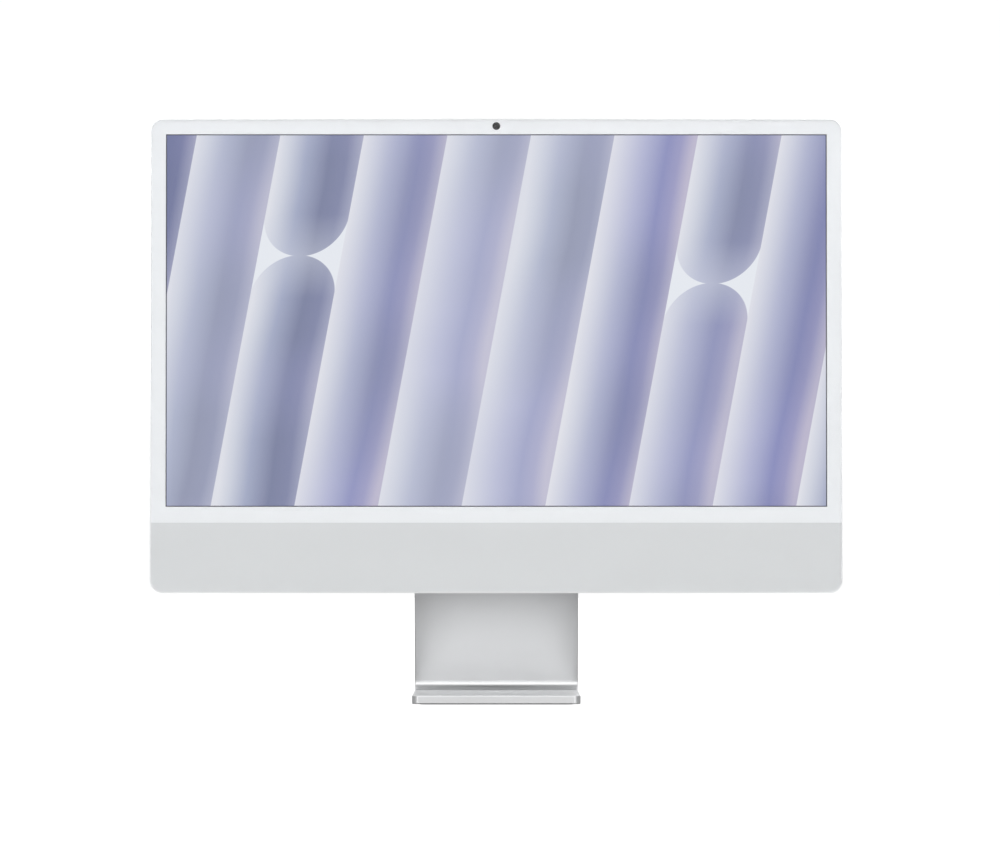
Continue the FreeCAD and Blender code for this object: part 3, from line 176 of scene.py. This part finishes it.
def build_finish():
    """Grain and patches: colour, roughness and normal for one material."""
    tree, given, out = new_group(
        "finish",
        [
            ("Colour", COLOUR, (0.5, 0.5, 0.5, 1.0)),
            ("Patch colour", COLOUR, (0.45, 0.45, 0.45, 1.0)),
            ("Stretch", VECTOR, (1.0, 1.0, 1.0)),
            ("Grain per metre", FLOAT, 4000.0),
            ("Grain depth", FLOAT, 0.00002),
            ("Patches per metre", FLOAT, 18.0),
            ("Patch strength", FLOAT, 0.5),
            ("Roughness", FLOAT, 0.4),
            ("Roughness spread", FLOAT, 0.1),
        ],
        [("Colour", COLOUR), ("Roughness", FLOAT), ("Normal", VECTOR)],
    )
    place = add_node(tree, "ShaderNodeTexCoord").outputs["Object"]
    stretched = add_node(tree, "ShaderNodeVectorMath", {0: place, 1: given["Stretch"]}, operation="MULTIPLY")
    grain = add_node(
        tree,
        "ShaderNodeTexNoise",
        {"Vector": stretched.outputs[0], "Scale": given["Grain per metre"], "Detail": 2.0, "Roughness": 0.6},
    ).outputs[0]
    patches = add_node(
        tree,
        "ShaderNodeTexNoise",
        {"Vector": place, "Scale": given["Patches per metre"], "Detail": 3.0, "Roughness": 0.5},
    ).outputs[0]
    mixed = sums(tree, "MULTIPLY", patches, given["Patch strength"])
    speckle = sums(tree, "MULTIPLY_ADD", sums(tree, "SUBTRACT", grain, 0.5), GRAIN_IN_COLOUR, mixed)
    tone = blend_of(tree, speckle, given["Colour"], given["Patch colour"])
    spread = sums(tree, "MULTIPLY", sums(tree, "SUBTRACT", patches, 0.5), given["Roughness spread"])
    bump = add_node(tree, "ShaderNodeBump", {"Height": grain, "Distance": given["Grain depth"]})
    tree.links.new(tone, out.inputs["Colour"])
    tree.links.new(sums(tree, "ADD", given["Roughness"], spread), out.inputs["Roughness"])
    tree.links.new(bump.outputs[0], out.inputs["Normal"])
    return tree


finish_group = build_finish()
print("finish group:", len(finish_group.nodes), "nodes")

# %% [markdown]
# ## Materials from the shared finish
# A Principled shader needs two kinds of values. What changes over the surface comes from the group. What is
# the same all over, such as metal or not, is set on the shader itself, where every exporter can
# read it. A table then lists the finishes in a maker's words: silver anodised aluminium, drawn steel,
# tinned cans, copper, moulded plastic, rubber and so on.


# %% Materials from the shared finish
def new_material(name):
    """A material with only a Principled shader and an output in it."""
    material = bpy.data.materials.new(name)
    material.use_nodes = True
    return material, material.node_tree, material.node_tree.nodes["Principled BSDF"]


def darker(colour, share):
    """A colour with every part cut to a share of what it was."""
    return (*(part * share for part in colour[:3]), 1.0)


def finished(name, colour, roughness, patch=0.88, grain=4000.0, depth=0.00002, stretch=(1, 1, 1), **own):
    """A material with the shared finish. own holds constants for the shader's own sockets."""
    material, tree, shader = new_material(name)
    group = add_node(tree, "ShaderNodeGroup", node_tree=finish_group)
    values = {
        "Colour": colour,
        "Patch colour": darker(colour, patch),
        "Stretch": stretch,
        "Grain per metre": grain,
        "Grain depth": depth,
        "Roughness": roughness,
        "Roughness spread": roughness * 0.25,
    }
    for socket, value in values.items():
        group.inputs[socket].default_value = value
    tree.links.new(group.outputs["Colour"], shader.inputs["Base Color"])
    tree.links.new(group.outputs["Roughness"], shader.inputs["Roughness"])
    tree.links.new(group.outputs["Normal"], shader.inputs["Normal"])
    for socket, value in own.items():
        shader.inputs[socket.replace("_", " ")].default_value = value
    return material


def metal(name, colour, roughness, **more):
    """A bare metal with the shared finish."""
    return finished(name, colour, roughness, Metallic=1.0, **more)


materials = {
    "blade_aluminium": metal(
        "silver_anodised", light_of(0.905, 0.908, 0.912), 0.37, patch=0.96, depth=0.000012
    ),
    "fin_aluminium": metal("plain_fins", light_of(0.84, 0.85, 0.86), 0.38, stretch=(1, 0.1, 1)),
    "shield_aluminium": metal("pressed_aluminium", light_of(0.86, 0.87, 0.875), 0.42, stretch=(0.05, 1, 1)),
    "cone_aluminium": metal("cone_aluminium", light_of(0.70, 0.71, 0.72), 0.45),
    "hinge_steel": metal("machined_steel", light_of(0.62, 0.63, 0.65), 0.33, stretch=(0.04, 1, 1)),
    "screw_steel": metal("zinc_plate", light_of(0.66, 0.67, 0.69), 0.3, grain=9000.0),
    "tray_steel": metal("pressed_steel", light_of(0.74, 0.75, 0.76), 0.4, stretch=(0.05, 1, 1)),
    "can_steel": metal("tinned_can", light_of(0.80, 0.80, 0.79), 0.3, stretch=(1, 1, 0.08)),
    "cell_steel": metal("cell_steel", light_of(0.82, 0.82, 0.81), 0.28, stretch=(0.08, 1, 1)),
    "port_steel": metal("drawn_shell", light_of(0.72, 0.72, 0.73), 0.3, stretch=(1, 0.05, 1)),
    "magnet": metal("nickel_plate", light_of(0.78, 0.77, 0.75), 0.18, grain=7000.0),
    "copper": metal("bright_copper", light_of(0.86, 0.60, 0.46), 0.3, patch=0.8, stretch=(0.06, 1, 1)),
    "contact_gold": metal("gold_plate", light_of(0.90, 0.78, 0.47), 0.2, grain=8000.0, Coat_Weight=0.1),
    "pad_rubber": finished("pale_silicone", light_of(0.86, 0.865, 0.87), 0.75, grain=2600.0, depth=0.00006),
    "window_plastic": finished(
        "window_plastic", light_of(0.885, 0.89, 0.895), 0.22, grain=6000.0, patch=0.97
    ),
    "foam_tape": finished("foam_tape", light_of(0.16, 0.16, 0.165), 0.9, grain=3000.0, depth=0.0001),
    "optical_film": finished("optical_film", light_of(0.94, 0.94, 0.93), 0.6, grain=9000.0, patch=0.97),
    "black_plastic": finished(
        "black_plastic", light_of(0.12, 0.12, 0.125), 0.5, grain=3500.0, depth=0.00004
    ),
    "flex_film": finished("amber_film", light_of(0.66, 0.43, 0.17), 0.35, grain=1500.0, patch=0.7),
    "chip_resin": finished("chip_resin", light_of(0.14, 0.14, 0.15), 0.55, grain=5000.0, depth=0.00003),
    "supply_parts": finished("supply_parts", light_of(0.34, 0.34, 0.36), 0.5, grain=2500.0, patch=0.5),
    "inlet_plastic": finished("inlet_plastic", light_of(0.87, 0.875, 0.88), 0.42, grain=4500.0, patch=0.95),
    "surround_rubber": finished(
        "black_rubber", light_of(0.13, 0.13, 0.13), 0.8, grain=2500.0, depth=0.00005
    ),
    "hood_black": finished("hood_black", light_of(0.03, 0.03, 0.032), 0.7, grain=6000.0, depth=0.00003),
    "lead_jacket": finished("lead_jacket", light_of(0.17, 0.17, 0.175), 0.6, grain=2500.0, depth=0.00004),
}
print("materials from the finish:", len(materials))

# %% [markdown]
# ## Ink behind glass
# The white border and the grey band under the screen aren't painted on the front. Each is a film of ink
# on the back of the glass, so it has no gloss of its own: the shine in front of it is the glass's. The
# shader's specular level is therefore zero, and the ink is nearly even, with a faint mottle.

# %% Ink behind glass
for slot, name, colour in (
    ("white_ink", "white_ink", light_of(0.943, 0.948, 0.956)),
    ("grey_ink", "grey_ink", light_of(0.860, 0.865, 0.869)),
):
    materials[slot] = finished(
        name, colour, 0.9, patch=0.985, grain=6000.0, depth=0.0, Specular_IOR_Level=0.0
    )
    print(name, "colour", [round(part, 3) for part in colour[:3]])

# %% [markdown]
# ## Circuit boards
# A board is a sheet of glass fibre under dark solder mask. Fine copper tracks show through the mask as
# slightly lighter lines. A brick pattern with long thin bricks draws the tracks, broken up by a coarse
# noise that decides where a track runs and where it stops.


# %% Circuit boards
def circuit_board():
    """Dark green solder mask over copper tracks."""
    material, tree, shader = new_material("solder_mask")
    place = add_node(tree, "ShaderNodeTexCoord").outputs["Object"]
    parts = add_node(tree, "ShaderNodeSeparateXYZ", {0: place}).outputs
    flat = add_node(tree, "ShaderNodeCombineXYZ", {0: parts[0], 1: parts[2]}).outputs[0]
    tracks = add_node(
        tree,
        "ShaderNodeTexBrick",
        {"Vector": flat, "Scale": 420.0, "Mortar Size": 0.09, "Brick Width": 2.3, "Row Height": 0.45},
    ).outputs[1]
    where = add_node(tree, "ShaderNodeTexNoise", {"Vector": flat, "Scale": 160.0, "Detail": 1.0}).outputs[0]
    shown = sums(tree, "MULTIPLY", tracks, sums(tree, "GREATER_THAN", where, 0.47))
    colour = blend_of(tree, shown, light_of(0.05, 0.13, 0.11), light_of(0.12, 0.26, 0.20))
    bump = add_node(tree, "ShaderNodeBump", {"Height": shown, "Distance": 0.00003})
    tree.links.new(colour, shader.inputs["Base Color"])
    tree.links.new(sums(tree, "MULTIPLY_ADD", shown, -0.1, 0.4), shader.inputs["Roughness"])
    tree.links.new(bump.outputs[0], shader.inputs["Normal"])
    return material


materials["circuit_board"] = circuit_board()
print("board material:", materials["circuit_board"].name)

# %% [markdown]
# ## The lamp strip and the light guide
# Behind the picture a row of small lamps shines up into a plate of acrylic with fine dots on its back,
# which spread the light. The dots make the plate look milky, so it is a pale plastic with a glossy coat. The
# strip is white board with pale yellow lamps, and a wave along it tells the two apart.


# %% The lamp strip and the light guide
LAMP_SPACING = 8.7 * MILLIMETRE


def lamp_strip():
    """White board with a pale yellow lamp at every step."""
    material, tree, shader = new_material("lamp_strip")
    place = add_node(tree, "ShaderNodeTexCoord").outputs["Object"]
    parts = add_node(tree, "ShaderNodeSeparateXYZ", {0: place}).outputs
    wave = sums(tree, "SINE", sums(tree, "MULTIPLY", parts[0], math.tau / LAMP_SPACING))
    lamp = sums(tree, "GREATER_THAN", wave, 0.0)
    colour = blend_of(tree, lamp, light_of(0.95, 0.95, 0.93), light_of(0.97, 0.9, 0.6))
    tree.links.new(colour, shader.inputs["Base Color"])
    shader.inputs["Roughness"].default_value = 0.45
    return material


materials["lamp_strip"] = lamp_strip()
materials["clear_acrylic"] = finished(
    "light_plate", light_of(0.93, 0.96, 0.965), 0.12, grain=1200.0, patch=0.96, IOR=1.49, Coat_Weight=0.5
)
print("lamps every", LAMP_SPACING, "m")

# %% [markdown]
# ## Glass
# Glass is a Principled shader with full transmission. Left alone, it would throw a dark shadow on the ink
# right behind it, because lamps can't be seen through a refracting surface. The usual trick is to mix in
# a Transparent shader for shadow rays only, chosen by the Light Path node: light then passes straight
# through. The front sheet is a colourless glass with a mirror finish, and the camera's lens is coated
# dark blue. Both have a thin coat that cuts reflections, so their specular level is well under the
# usual half.


# %% Glass
def glass_material(name, tint, refraction):
    """Clear glass with faint smears, which lets shadow rays through."""
    material, tree, shader = new_material(name)
    place = add_node(tree, "ShaderNodeTexCoord").outputs["Object"]
    smears = add_node(tree, "ShaderNodeTexNoise", {"Vector": place, "Scale": 9.0, "Detail": 3.0}).outputs[0]
    tree.links.new(sums(tree, "MULTIPLY", smears, 0.02), shader.inputs["Roughness"])
    shader.inputs["Base Color"].default_value = tint
    shader.inputs["Transmission Weight"].default_value = 1.0
    shader.inputs["IOR"].default_value = refraction
    shader.inputs["Specular IOR Level"].default_value = 0.2
    clear = add_node(tree, "ShaderNodeBsdfTransparent", {"Color": tint})
    path = add_node(tree, "ShaderNodeLightPath")
    choice = add_node(
        tree,
        "ShaderNodeMixShader",
        {0: path.outputs["Is Shadow Ray"], 1: shader.outputs[0], 2: clear.outputs[0]},
    )
    tree.links.new(choice.outputs[0], tree.nodes["Material Output"].inputs["Surface"])
    return material


materials["clear_glass"] = glass_material("front_glass", (0.985, 0.99, 0.992, 1.0), 1.45)
materials["lens_glass"] = glass_material("lens_glass", light_of(0.16, 0.18, 0.27), 1.5)

# %% [markdown]
# ## The picture on the screen
# The screen shows a plain made-up background: soft slanted bars in slate blue and lavender, each lit from
# its left. It is drawn by arithmetic. A slanted coordinate is cut into equal columns by its whole part,
# and what is left over, from 0 to 1, is the place across one bar, which a colour ramp turns into the
# shading. White noise on the column's number gives each bar its own mix of the two ramps, and its own
# height where one bar ends and the next begins with a round end. The panel glows by itself, so the colour
# goes to emission. A narrow band round the picture, dark on a real panel, shows no bars but a faint
# grey-blue painted glow.

# %% The picture: sizes and colours
panel_low, panel_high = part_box("display_cell")
# width of the band round the picture, which shows no bars, only a faint painted glow
EDGE_WITHOUT_PICTURE = 0.8 * MILLIMETRE
BAR_PITCH = 66.0 * MILLIMETRE
BAR_SLANT = math.tan(math.radians(10.6))
BREAK_REACH = 0.62
ROUND_END = BAR_PITCH / 2
EDGE_SHARPNESS = 2500.0
FLOW_PER_METRE = 5.5
FLOW_BETWEEN_BARS = 7.3
FLOW_PUSH = 0.35
FLOW_MIXING = 3.0
PALE_BARS = 0.36
PALE_ENDS = 0.35
slate_stops = [
    (0.00, light_of(0.880, 0.885, 0.915)),
    (0.12, light_of(0.805, 0.820, 0.870)),
    (0.34, light_of(0.600, 0.630, 0.745)),
    (0.62, light_of(0.395, 0.425, 0.575)),
    (0.82, light_of(0.430, 0.455, 0.610)),
    (1.00, light_of(0.620, 0.630, 0.740)),
]
lavender_stops = [
    (0.00, light_of(0.890, 0.890, 0.920)),
    (0.16, light_of(0.825, 0.830, 0.890)),
    (0.42, light_of(0.690, 0.700, 0.825)),
    (0.70, light_of(0.515, 0.530, 0.730)),
    (0.86, light_of(0.585, 0.580, 0.750)),
    (1.00, light_of(0.730, 0.705, 0.800)),
]
print("picture:", panel_high.x - panel_low.x - 2 * EDGE_WITHOUT_PICTURE, "m wide")


# %% The picture: bars
def build_bars():
    """Colour of the slanted bars from a place on the panel."""
    tree, given, out = new_group(
        "slanted_bars",
        [("Across", FLOAT, 0.0), ("Up", FLOAT, 0.0), ("Pitch", FLOAT, BAR_PITCH), ("Seed", FLOAT, 3.0)],
        [("Colour", COLOUR)],
    )
    across, up = given["Across"], given["Up"]
    slanted = sums(tree, "SUBTRACT", across, sums(tree, "MULTIPLY", up, BAR_SLANT))
    counted = sums(tree, "DIVIDE", slanted, given["Pitch"])
    column = sums(tree, "FLOOR", counted)
    part = sums(tree, "SUBTRACT", counted, column)
    number = sums(tree, "ADD", column, given["Seed"])
    chance = add_node(tree, "ShaderNodeTexWhiteNoise", {"W": number}, noise_dimensions="1D")
    first, second, third = add_node(tree, "ShaderNodeSeparateColor", {0: chance.outputs["Color"]}).outputs

    # how far a point is past the start of the nearest round end
    break_up = sums(tree, "MULTIPLY", sums(tree, "SUBTRACT", first, 0.5), BREAK_REACH)
    above = sums(tree, "SUBTRACT", up, break_up)
    into_end = sums(tree, "MAXIMUM", sums(tree, "SUBTRACT", ROUND_END, sums(tree, "ABSOLUTE", above)), 0.0)
    sideways = sums(tree, "MULTIPLY", sums(tree, "SUBTRACT", part, 0.5), given["Pitch"])
    squared = sums(tree, "MULTIPLY_ADD", into_end, into_end, sums(tree, "MULTIPLY", sideways, sideways))
    reach = sums(tree, "SQRT", squared)
    past_end = sums(tree, "SUBTRACT", reach, ROUND_END + 0.2 * MILLIMETRE)
    gap = sums(tree, "MULTIPLY", past_end, EDGE_SHARPNESS)
    gap_share = add_node(tree, "ShaderNodeClamp", {0: gap}).outputs[0]

    # shading across the bar, pushed about slowly along its length
    own_place = sums(tree, "MULTIPLY", column, FLOW_BETWEEN_BARS)
    flow_place = add_node(tree, "ShaderNodeCombineXYZ", {0: own_place, 1: up, 2: third}).outputs[0]
    noise_values = {"Vector": flow_place, "Scale": FLOW_PER_METRE, "Detail": 1.0}
    flow = add_node(tree, "ShaderNodeTexNoise", noise_values).outputs[0]
    pushed = sums(tree, "MULTIPLY_ADD", sums(tree, "SUBTRACT", flow, 0.5), FLOW_PUSH, part)
    shade_place = add_node(tree, "ShaderNodeClamp", {0: pushed}).outputs[0]
    mixing = sums(tree, "MULTIPLY_ADD", sums(tree, "SUBTRACT", flow, 0.5), FLOW_MIXING, second)
    mix_share = add_node(tree, "ShaderNodeClamp", {0: mixing}).outputs[0]
    slate = ramp_of(tree, shade_place, slate_stops)
    lavender = ramp_of(tree, shade_place, lavender_stops)
    bar = blend_of(tree, mix_share, slate, lavender)

    # some bars are paler than others, and the ends fade towards pale
    pale = sums(tree, "MULTIPLY", sums(tree, "POWER", third, 2.0), PALE_BARS)
    end_share = sums(tree, "MULTIPLY", sums(tree, "DIVIDE", into_end, ROUND_END), PALE_ENDS)
    paler = add_node(tree, "ShaderNodeClamp", {0: sums(tree, "ADD", pale, end_share)}).outputs[0]
    bar = blend_of(tree, paler, bar, light_of(0.82, 0.835, 0.89))
    tree.links.new(blend_of(tree, gap_share, bar, light_of(0.905, 0.918, 0.945)), out.inputs["Colour"])
    return tree


bars_group = build_bars()
print("bars group:", len(bars_group.nodes), "nodes")


# %% The picture: the panel
def lit_panel():
    """The glowing panel, with a faint painted glow on the band round the picture."""
    material, tree, shader = new_material("lit_panel")
    place = add_node(tree, "ShaderNodeTexCoord").outputs["Object"]
    x, _, z = add_node(tree, "ShaderNodeSeparateXYZ", {0: place}).outputs
    middle = (panel_low.z + panel_high.z) / 2
    up = sums(tree, "SUBTRACT", z, middle)
    bars = add_node(tree, "ShaderNodeGroup", node_tree=bars_group)
    tree.links.new(x, bars.inputs["Across"])
    tree.links.new(up, bars.inputs["Up"])
    half_wide = (panel_high.x - panel_low.x) / 2 - EDGE_WITHOUT_PICTURE
    half_high = (panel_high.z - panel_low.z) / 2 - EDGE_WITHOUT_PICTURE
    inside_x = sums(tree, "LESS_THAN", sums(tree, "ABSOLUTE", x), half_wide)
    inside_z = sums(tree, "LESS_THAN", sums(tree, "ABSOLUTE", up), half_high)
    lit = sums(tree, "MULTIPLY", inside_x, inside_z)
    # outside the picture the panel gets a faint grey-blue painted glow, though a real panel's edge is dark
    glow = blend_of(tree, lit, light_of(0.20, 0.205, 0.25), bars.outputs["Colour"])
    under_glow = blend_of(tree, lit, (0.02, 0.02, 0.025, 1.0), (0.005, 0.005, 0.006, 1.0))
    tree.links.new(glow, shader.inputs["Emission Color"])
    tree.links.new(under_glow, shader.inputs["Base Color"])
    shader.inputs["Emission Strength"].default_value = 1.0
    shader.inputs["Specular IOR Level"].default_value = 0.0
    shader.inputs["Roughness"].default_value = 0.6
    return material


materials["lit_panel"] = lit_panel()
print("panel material made")

# %% [markdown]
# ## Dressing the CAD parts
# Each CAD part came in with one material slot, named after the finish that its maker asked for. Swapping
# that slot's material for the one of the same name dresses the part, and leaves its mesh alone.

# %% Dressing the CAD parts
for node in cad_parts.values():
    for material_slot in node.material_slots:
        wanted = material_slot.material.name.split(".")[0]
        material_slot.material = materials[wanted]
print("dressed", len(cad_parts), "parts")

# %% [markdown]
# ## Helpers for modelling by operators
# Blender's operators act on whatever is selected, so every piece starts with nothing selected. A new
# primitive has its size and place applied at once, which leaves its object at the origin. In edit
# mode a small function picks vertices, edges or faces by a rule on their place.


# %% Helpers for modelling
def start_block(name, low, high):
    """A new block between two corners, ready in edit mode."""
    bpy.ops.object.select_all(action="DESELECT")
    middle = [(a + b) / 2 for a, b in zip(low, high)]
    bpy.ops.mesh.primitive_cube_add(size=1.0, location=middle)
    return start_piece(name, [b - a for a, b in zip(low, high)])


def start_piece(name, size=(1, 1, 1)):
    """Names the new primitive, applies its place and size, and goes into edit mode."""
    piece = bpy.context.object
    piece.name = name
    piece.data.name = name
    piece.scale = size
    bpy.ops.object.transform_apply(location=True, rotation=True, scale=True)
    bpy.ops.object.mode_set(mode="EDIT")
    return piece


def pick(piece, kind, rule):
    """Selects only the vertices, edges or faces that a rule accepts, and returns how many."""
    bpy.ops.mesh.select_mode(type={"verts": "VERT", "edges": "EDGE", "faces": "FACE"}[kind])
    bpy.ops.mesh.select_all(action="DESELECT")
    mesh = bmesh.from_edit_mesh(piece.data)
    found = [element for element in getattr(mesh, kind) if rule(element)]
    for element in found:
        element.select_set(True)
    mesh.select_flush_mode()
    bmesh.update_edit_mesh(piece.data)
    return len(found)


def spans_y(edge):
    """Whether an edge runs straight along Y."""
    first, second = (vertex.co for vertex in edge.verts)
    return abs(first.x - second.x) < 1e-6 and abs(first.z - second.z) < 1e-6


def end_piece(piece, material, body, smooth_under=30.0):
    """Leaves edit mode, shades, dresses the piece and hangs it on its body."""
    bpy.ops.object.mode_set(mode="OBJECT")
    bpy.ops.object.shade_smooth_by_angle(angle=math.radians(smooth_under))
    piece.data.materials.clear()
    piece.data.materials.append(material)
    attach(piece, body)
    print(piece.name, len(piece.data.polygons), "faces on", body)
    return piece


# %% [markdown]
# ## The front glass
# One sheet of glass covers the screen, its white border and the grey band. It starts as a block, its four
# upright corners are bevelled round to follow the metal rim, and the sharp front edge gets the fine
# polished chamfer that keeps real glass from chipping. Its back stops a twentieth of a millimetre in
# front of the ink, because two faces in exactly one plane flicker in a render.

# %% The front glass
glass_low, glass_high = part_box("cover_glass")
INK_GAP = 0.05 * MILLIMETRE
GLASS_CORNER = 9.4 * MILLIMETRE
GLASS_CHAMFER = 0.2 * MILLIMETRE
back_y = glass_high.y - INK_GAP
front_glass = start_block("front_glass", glass_low, (glass_high.x, back_y, glass_high.z))
pick(front_glass, "edges", spans_y)
bpy.ops.mesh.bevel(offset=GLASS_CORNER, segments=14, affect="EDGES")
pick(front_glass, "edges", lambda e: all(v.co.y < glass_low.y + 1e-6 for v in e.verts))
bpy.ops.mesh.bevel(offset=GLASS_CHAMFER, segments=1, affect="EDGES")
end_piece(front_glass, materials["clear_glass"], "display")
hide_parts("cover_glass")

# %% [markdown]
# ## The camera's barrel
# Behind the small round window in the white border sits a black barrel, stepped inside like any lens hood
# so that no stray light reaches the sensor. It is turned from a disc: the front face is inset and pushed
# in four times, each step deeper than the last, and the rear edge keeps a soft bevel.

# %% The camera's barrel
barrel_low, barrel_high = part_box("camera_module")
barrel_radius = (barrel_high.x - barrel_low.x) / 2
barrel_z = (barrel_low.z + barrel_high.z) / 2
BARREL_STEPS = ((0.35, 0.12), (0.30, 0.14), (0.25, 0.16), (0.25, 1.3))
bpy.ops.object.select_all(action="DESELECT")
bpy.ops.mesh.primitive_cylinder_add(
    vertices=64,
    radius=barrel_radius,
    depth=barrel_high.y - barrel_low.y,
    location=(0.0, (barrel_low.y + barrel_high.y) / 2, barrel_z),
    rotation=(math.radians(90.0), 0.0, 0.0),
)
camera_barrel = start_piece("camera_barrel")
pick(camera_barrel, "faces", lambda f: f.normal.y < -0.9)
for wide, deep in BARREL_STEPS:
    bpy.ops.mesh.inset(thickness=wide * MILLIMETRE, depth=0.0)
    bpy.ops.mesh.extrude_region_move(TRANSFORM_OT_translate={"value": (0.0, deep * MILLIMETRE, 0.0)})
pick(camera_barrel, "edges", lambda e: all(v.co.y > barrel_high.y - 1e-6 for v in e.verts))
bpy.ops.mesh.bevel(offset=0.2 * MILLIMETRE, segments=2, affect="EDGES")
end_piece(camera_barrel, materials["hood_black"], "display")
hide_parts("camera_module")

# %% [markdown]
# ## The mark on the power button
# The button's cap carries the usual open ring with an upright bar. A tiny block is set at the top of the
# ring, and its end face is spun most of the way round the middle of the cap. That leaves the opening on
# one side of the top, so the ring is then turned by half the opening. The bar is a second block added to
# the same mesh. Both stand a few hundredths of a millimetre out of the cap, as a printed and cured ink does.

# %% The mark on the power button
cap_low, cap_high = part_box("power_button")
cap_x, cap_z = (cap_low.x + cap_high.x) / 2, (cap_low.z + cap_high.z) / 2
MARK_HEIGHT = 0.04 * MILLIMETRE
RING_RADIUS = 2.6 * MILLIMETRE
RING_WIDTH = 0.55 * MILLIMETRE
RING_TURN = math.radians(290.0)
BAR_LENGTH = 2.6 * MILLIMETRE
cap_middle = (cap_x, cap_high.y, cap_z)
power_mark = start_block(
    "power_mark",
    (cap_x - MARK_HEIGHT, cap_high.y - MARK_HEIGHT, cap_z + RING_RADIUS - RING_WIDTH / 2),
    (cap_x + MARK_HEIGHT, cap_high.y + MARK_HEIGHT, cap_z + RING_RADIUS + RING_WIDTH / 2),
)
pick(power_mark, "faces", lambda f: f.normal.x > 0.9)
bpy.ops.mesh.spin(steps=40, angle=RING_TURN, center=cap_middle, axis=(0.0, 1.0, 0.0))
bpy.ops.mesh.select_all(action="SELECT")
half_opening = (math.tau - RING_TURN) / 2
bpy.ops.transform.rotate(value=half_opening, orient_axis="Y", center_override=cap_middle)
bpy.ops.mesh.remove_doubles(threshold=0.000001)
bpy.ops.mesh.normals_make_consistent(inside=False)
mark_places = [vertex.co.copy() for vertex in bmesh.from_edit_mesh(power_mark.data).verts]
print("ring's mean x off the cap's:", sum(place.x for place in mark_places) / len(mark_places) - cap_x)
bpy.ops.mesh.primitive_cube_add(
    size=1.0,
    location=(cap_x, cap_high.y, cap_z + RING_RADIUS - BAR_LENGTH / 2 + RING_WIDTH),
    scale=(RING_WIDTH, 2 * MARK_HEIGHT, BAR_LENGTH),
)
mark_ink = finished("mark_ink", light_of(0.50, 0.505, 0.515), 0.5, grain=9000.0)
end_piece(power_mark, mark_ink, "power_button")

# %% [markdown]
# ## The floor
# The computer stands on a wide pale floor that the camera sees as pure white right up to the horizon, as
# in a product picture. A floor that bright would also throw too much light up into the stand, so its glow
# is kept for camera rays by a Light Path node, and everything else sees a plain pale grey. The floor is
# small enough that the upright glass mirrors only the room into the camera.

# %% The floor
FLOOR_HALF = 5.5
FLOOR_GLOW = 0.92
bpy.ops.object.select_all(action="DESELECT")
bpy.ops.mesh.primitive_plane_add(size=2 * FLOOR_HALF, location=(0.0, 0.0, cad_low.z))
floor = bpy.context.object
floor.name = "floor"
floor_material = finished(
    "pale_floor", light_of(0.55, 0.55, 0.55), 0.8, patch=0.99, grain=300.0, depth=0.0
)
floor_tree = floor_material.node_tree
floor_shader = floor_tree.nodes["Principled BSDF"]
floor_shader.inputs["Emission Color"].default_value = (1.0, 1.0, 1.0, 1.0)
floor_path = add_node(floor_tree, "ShaderNodeLightPath").outputs["Is Camera Ray"]
floor_glow = sums(floor_tree, "MULTIPLY", floor_path, FLOOR_GLOW)
floor_tree.links.new(floor_glow, floor_shader.inputs["Emission Strength"])
floor.data.materials.append(floor_material)
print("floor", 2 * FLOOR_HALF, "m wide")

# %% [markdown]
# ## Studio light
# The room is white, which fills every shadow. What the camera sees behind the computer is pure white, and
# what lights it is dimmer: brightest high in front and low behind, and darker to the sides, so that
# rounded edges read as round. Soft lamps then shape it: a tall one on each side in front, whose
# reflections run down the rounded corners of the foot, one overhead and one behind. The two front lamps
# stand far enough apart that the upright glass doesn't mirror them into the camera.

# %% Studio light
ROOM_SEEN = 1.02
ROOM_SIDES = 0.52
ROOM_FRONT = 0.72
FRONT_UP = math.radians(48.0)
ROOM_BACK = 0.42
BACK_UP = math.radians(15.0)
GLOW_FOCUS = 3.0
MIDDLE_OF_CASE = (0.0, 0.0, 0.25)
world = bpy.data.worlds.new("white_room")
bpy.context.scene.world = world
world.use_nodes = True
room = world.node_tree
way_out = add_node(room, "ShaderNodeTexCoord").outputs["Generated"]
lighting = ROOM_SIDES
for side, rise, strength in ((-1.0, FRONT_UP, ROOM_FRONT), (1.0, BACK_UP, ROOM_BACK)):
    brightest = (0.0, side * math.cos(rise), math.sin(rise))
    dot = add_node(room, "ShaderNodeVectorMath", {0: way_out, 1: brightest}, operation="DOT_PRODUCT")
    nearness = sums(room, "POWER", sums(room, "MAXIMUM", dot.outputs["Value"], 0.0), GLOW_FOCUS)
    lighting = sums(room, "MULTIPLY_ADD", nearness, strength, lighting)
seen = add_node(room, "ShaderNodeLightPath").outputs["Is Camera Ray"]
to_white = sums(room, "MULTIPLY", seen, sums(room, "SUBTRACT", ROOM_SEEN, lighting))
room.nodes["Background"].inputs["Color"].default_value = (1.0, 1.0, 1.0, 1.0)
room.links.new(sums(room, "ADD", lighting, to_white), room.nodes["Background"].inputs["Strength"])


def add_lamp(name, place, size, power):
    """A rectangular soft lamp that faces the case."""
    lamp_data = bpy.data.lights.new(name, "AREA")
    lamp_data.shape = "RECTANGLE"
    lamp_data.size, lamp_data.size_y = size
    lamp_data.energy = power
    lamp = bpy.data.objects.new(name, lamp_data)
    bpy.context.scene.collection.objects.link(lamp)
    lamp.location = place
    way = [b - a for a, b in zip(place, MIDDLE_OF_CASE)]
    lamp.rotation_euler = Vector(way).to_track_quat("-Z", "Y").to_euler()
    print(name, "at", place, "power", power)


for name, side in (("lamp_left", -1), ("lamp_right", 1)):
    add_lamp(name, (side * 0.95, -2.8, 0.68), (0.4, 1.3), 10.3)
add_lamp("lamp_top", (0.0, 0.1, 2.4), (2.4, 2.0), 12.0)
add_lamp("lamp_back", (0.9, 2.6, 1.5), (2.2, 1.6), 5.0)

# %% [markdown]
# ## Sizes
# The look of a part must not change its size. The CAD model's box is printed just after the model is
# loaded, and this last step only prints that the script is done.

# %% Sizes
print("script done")
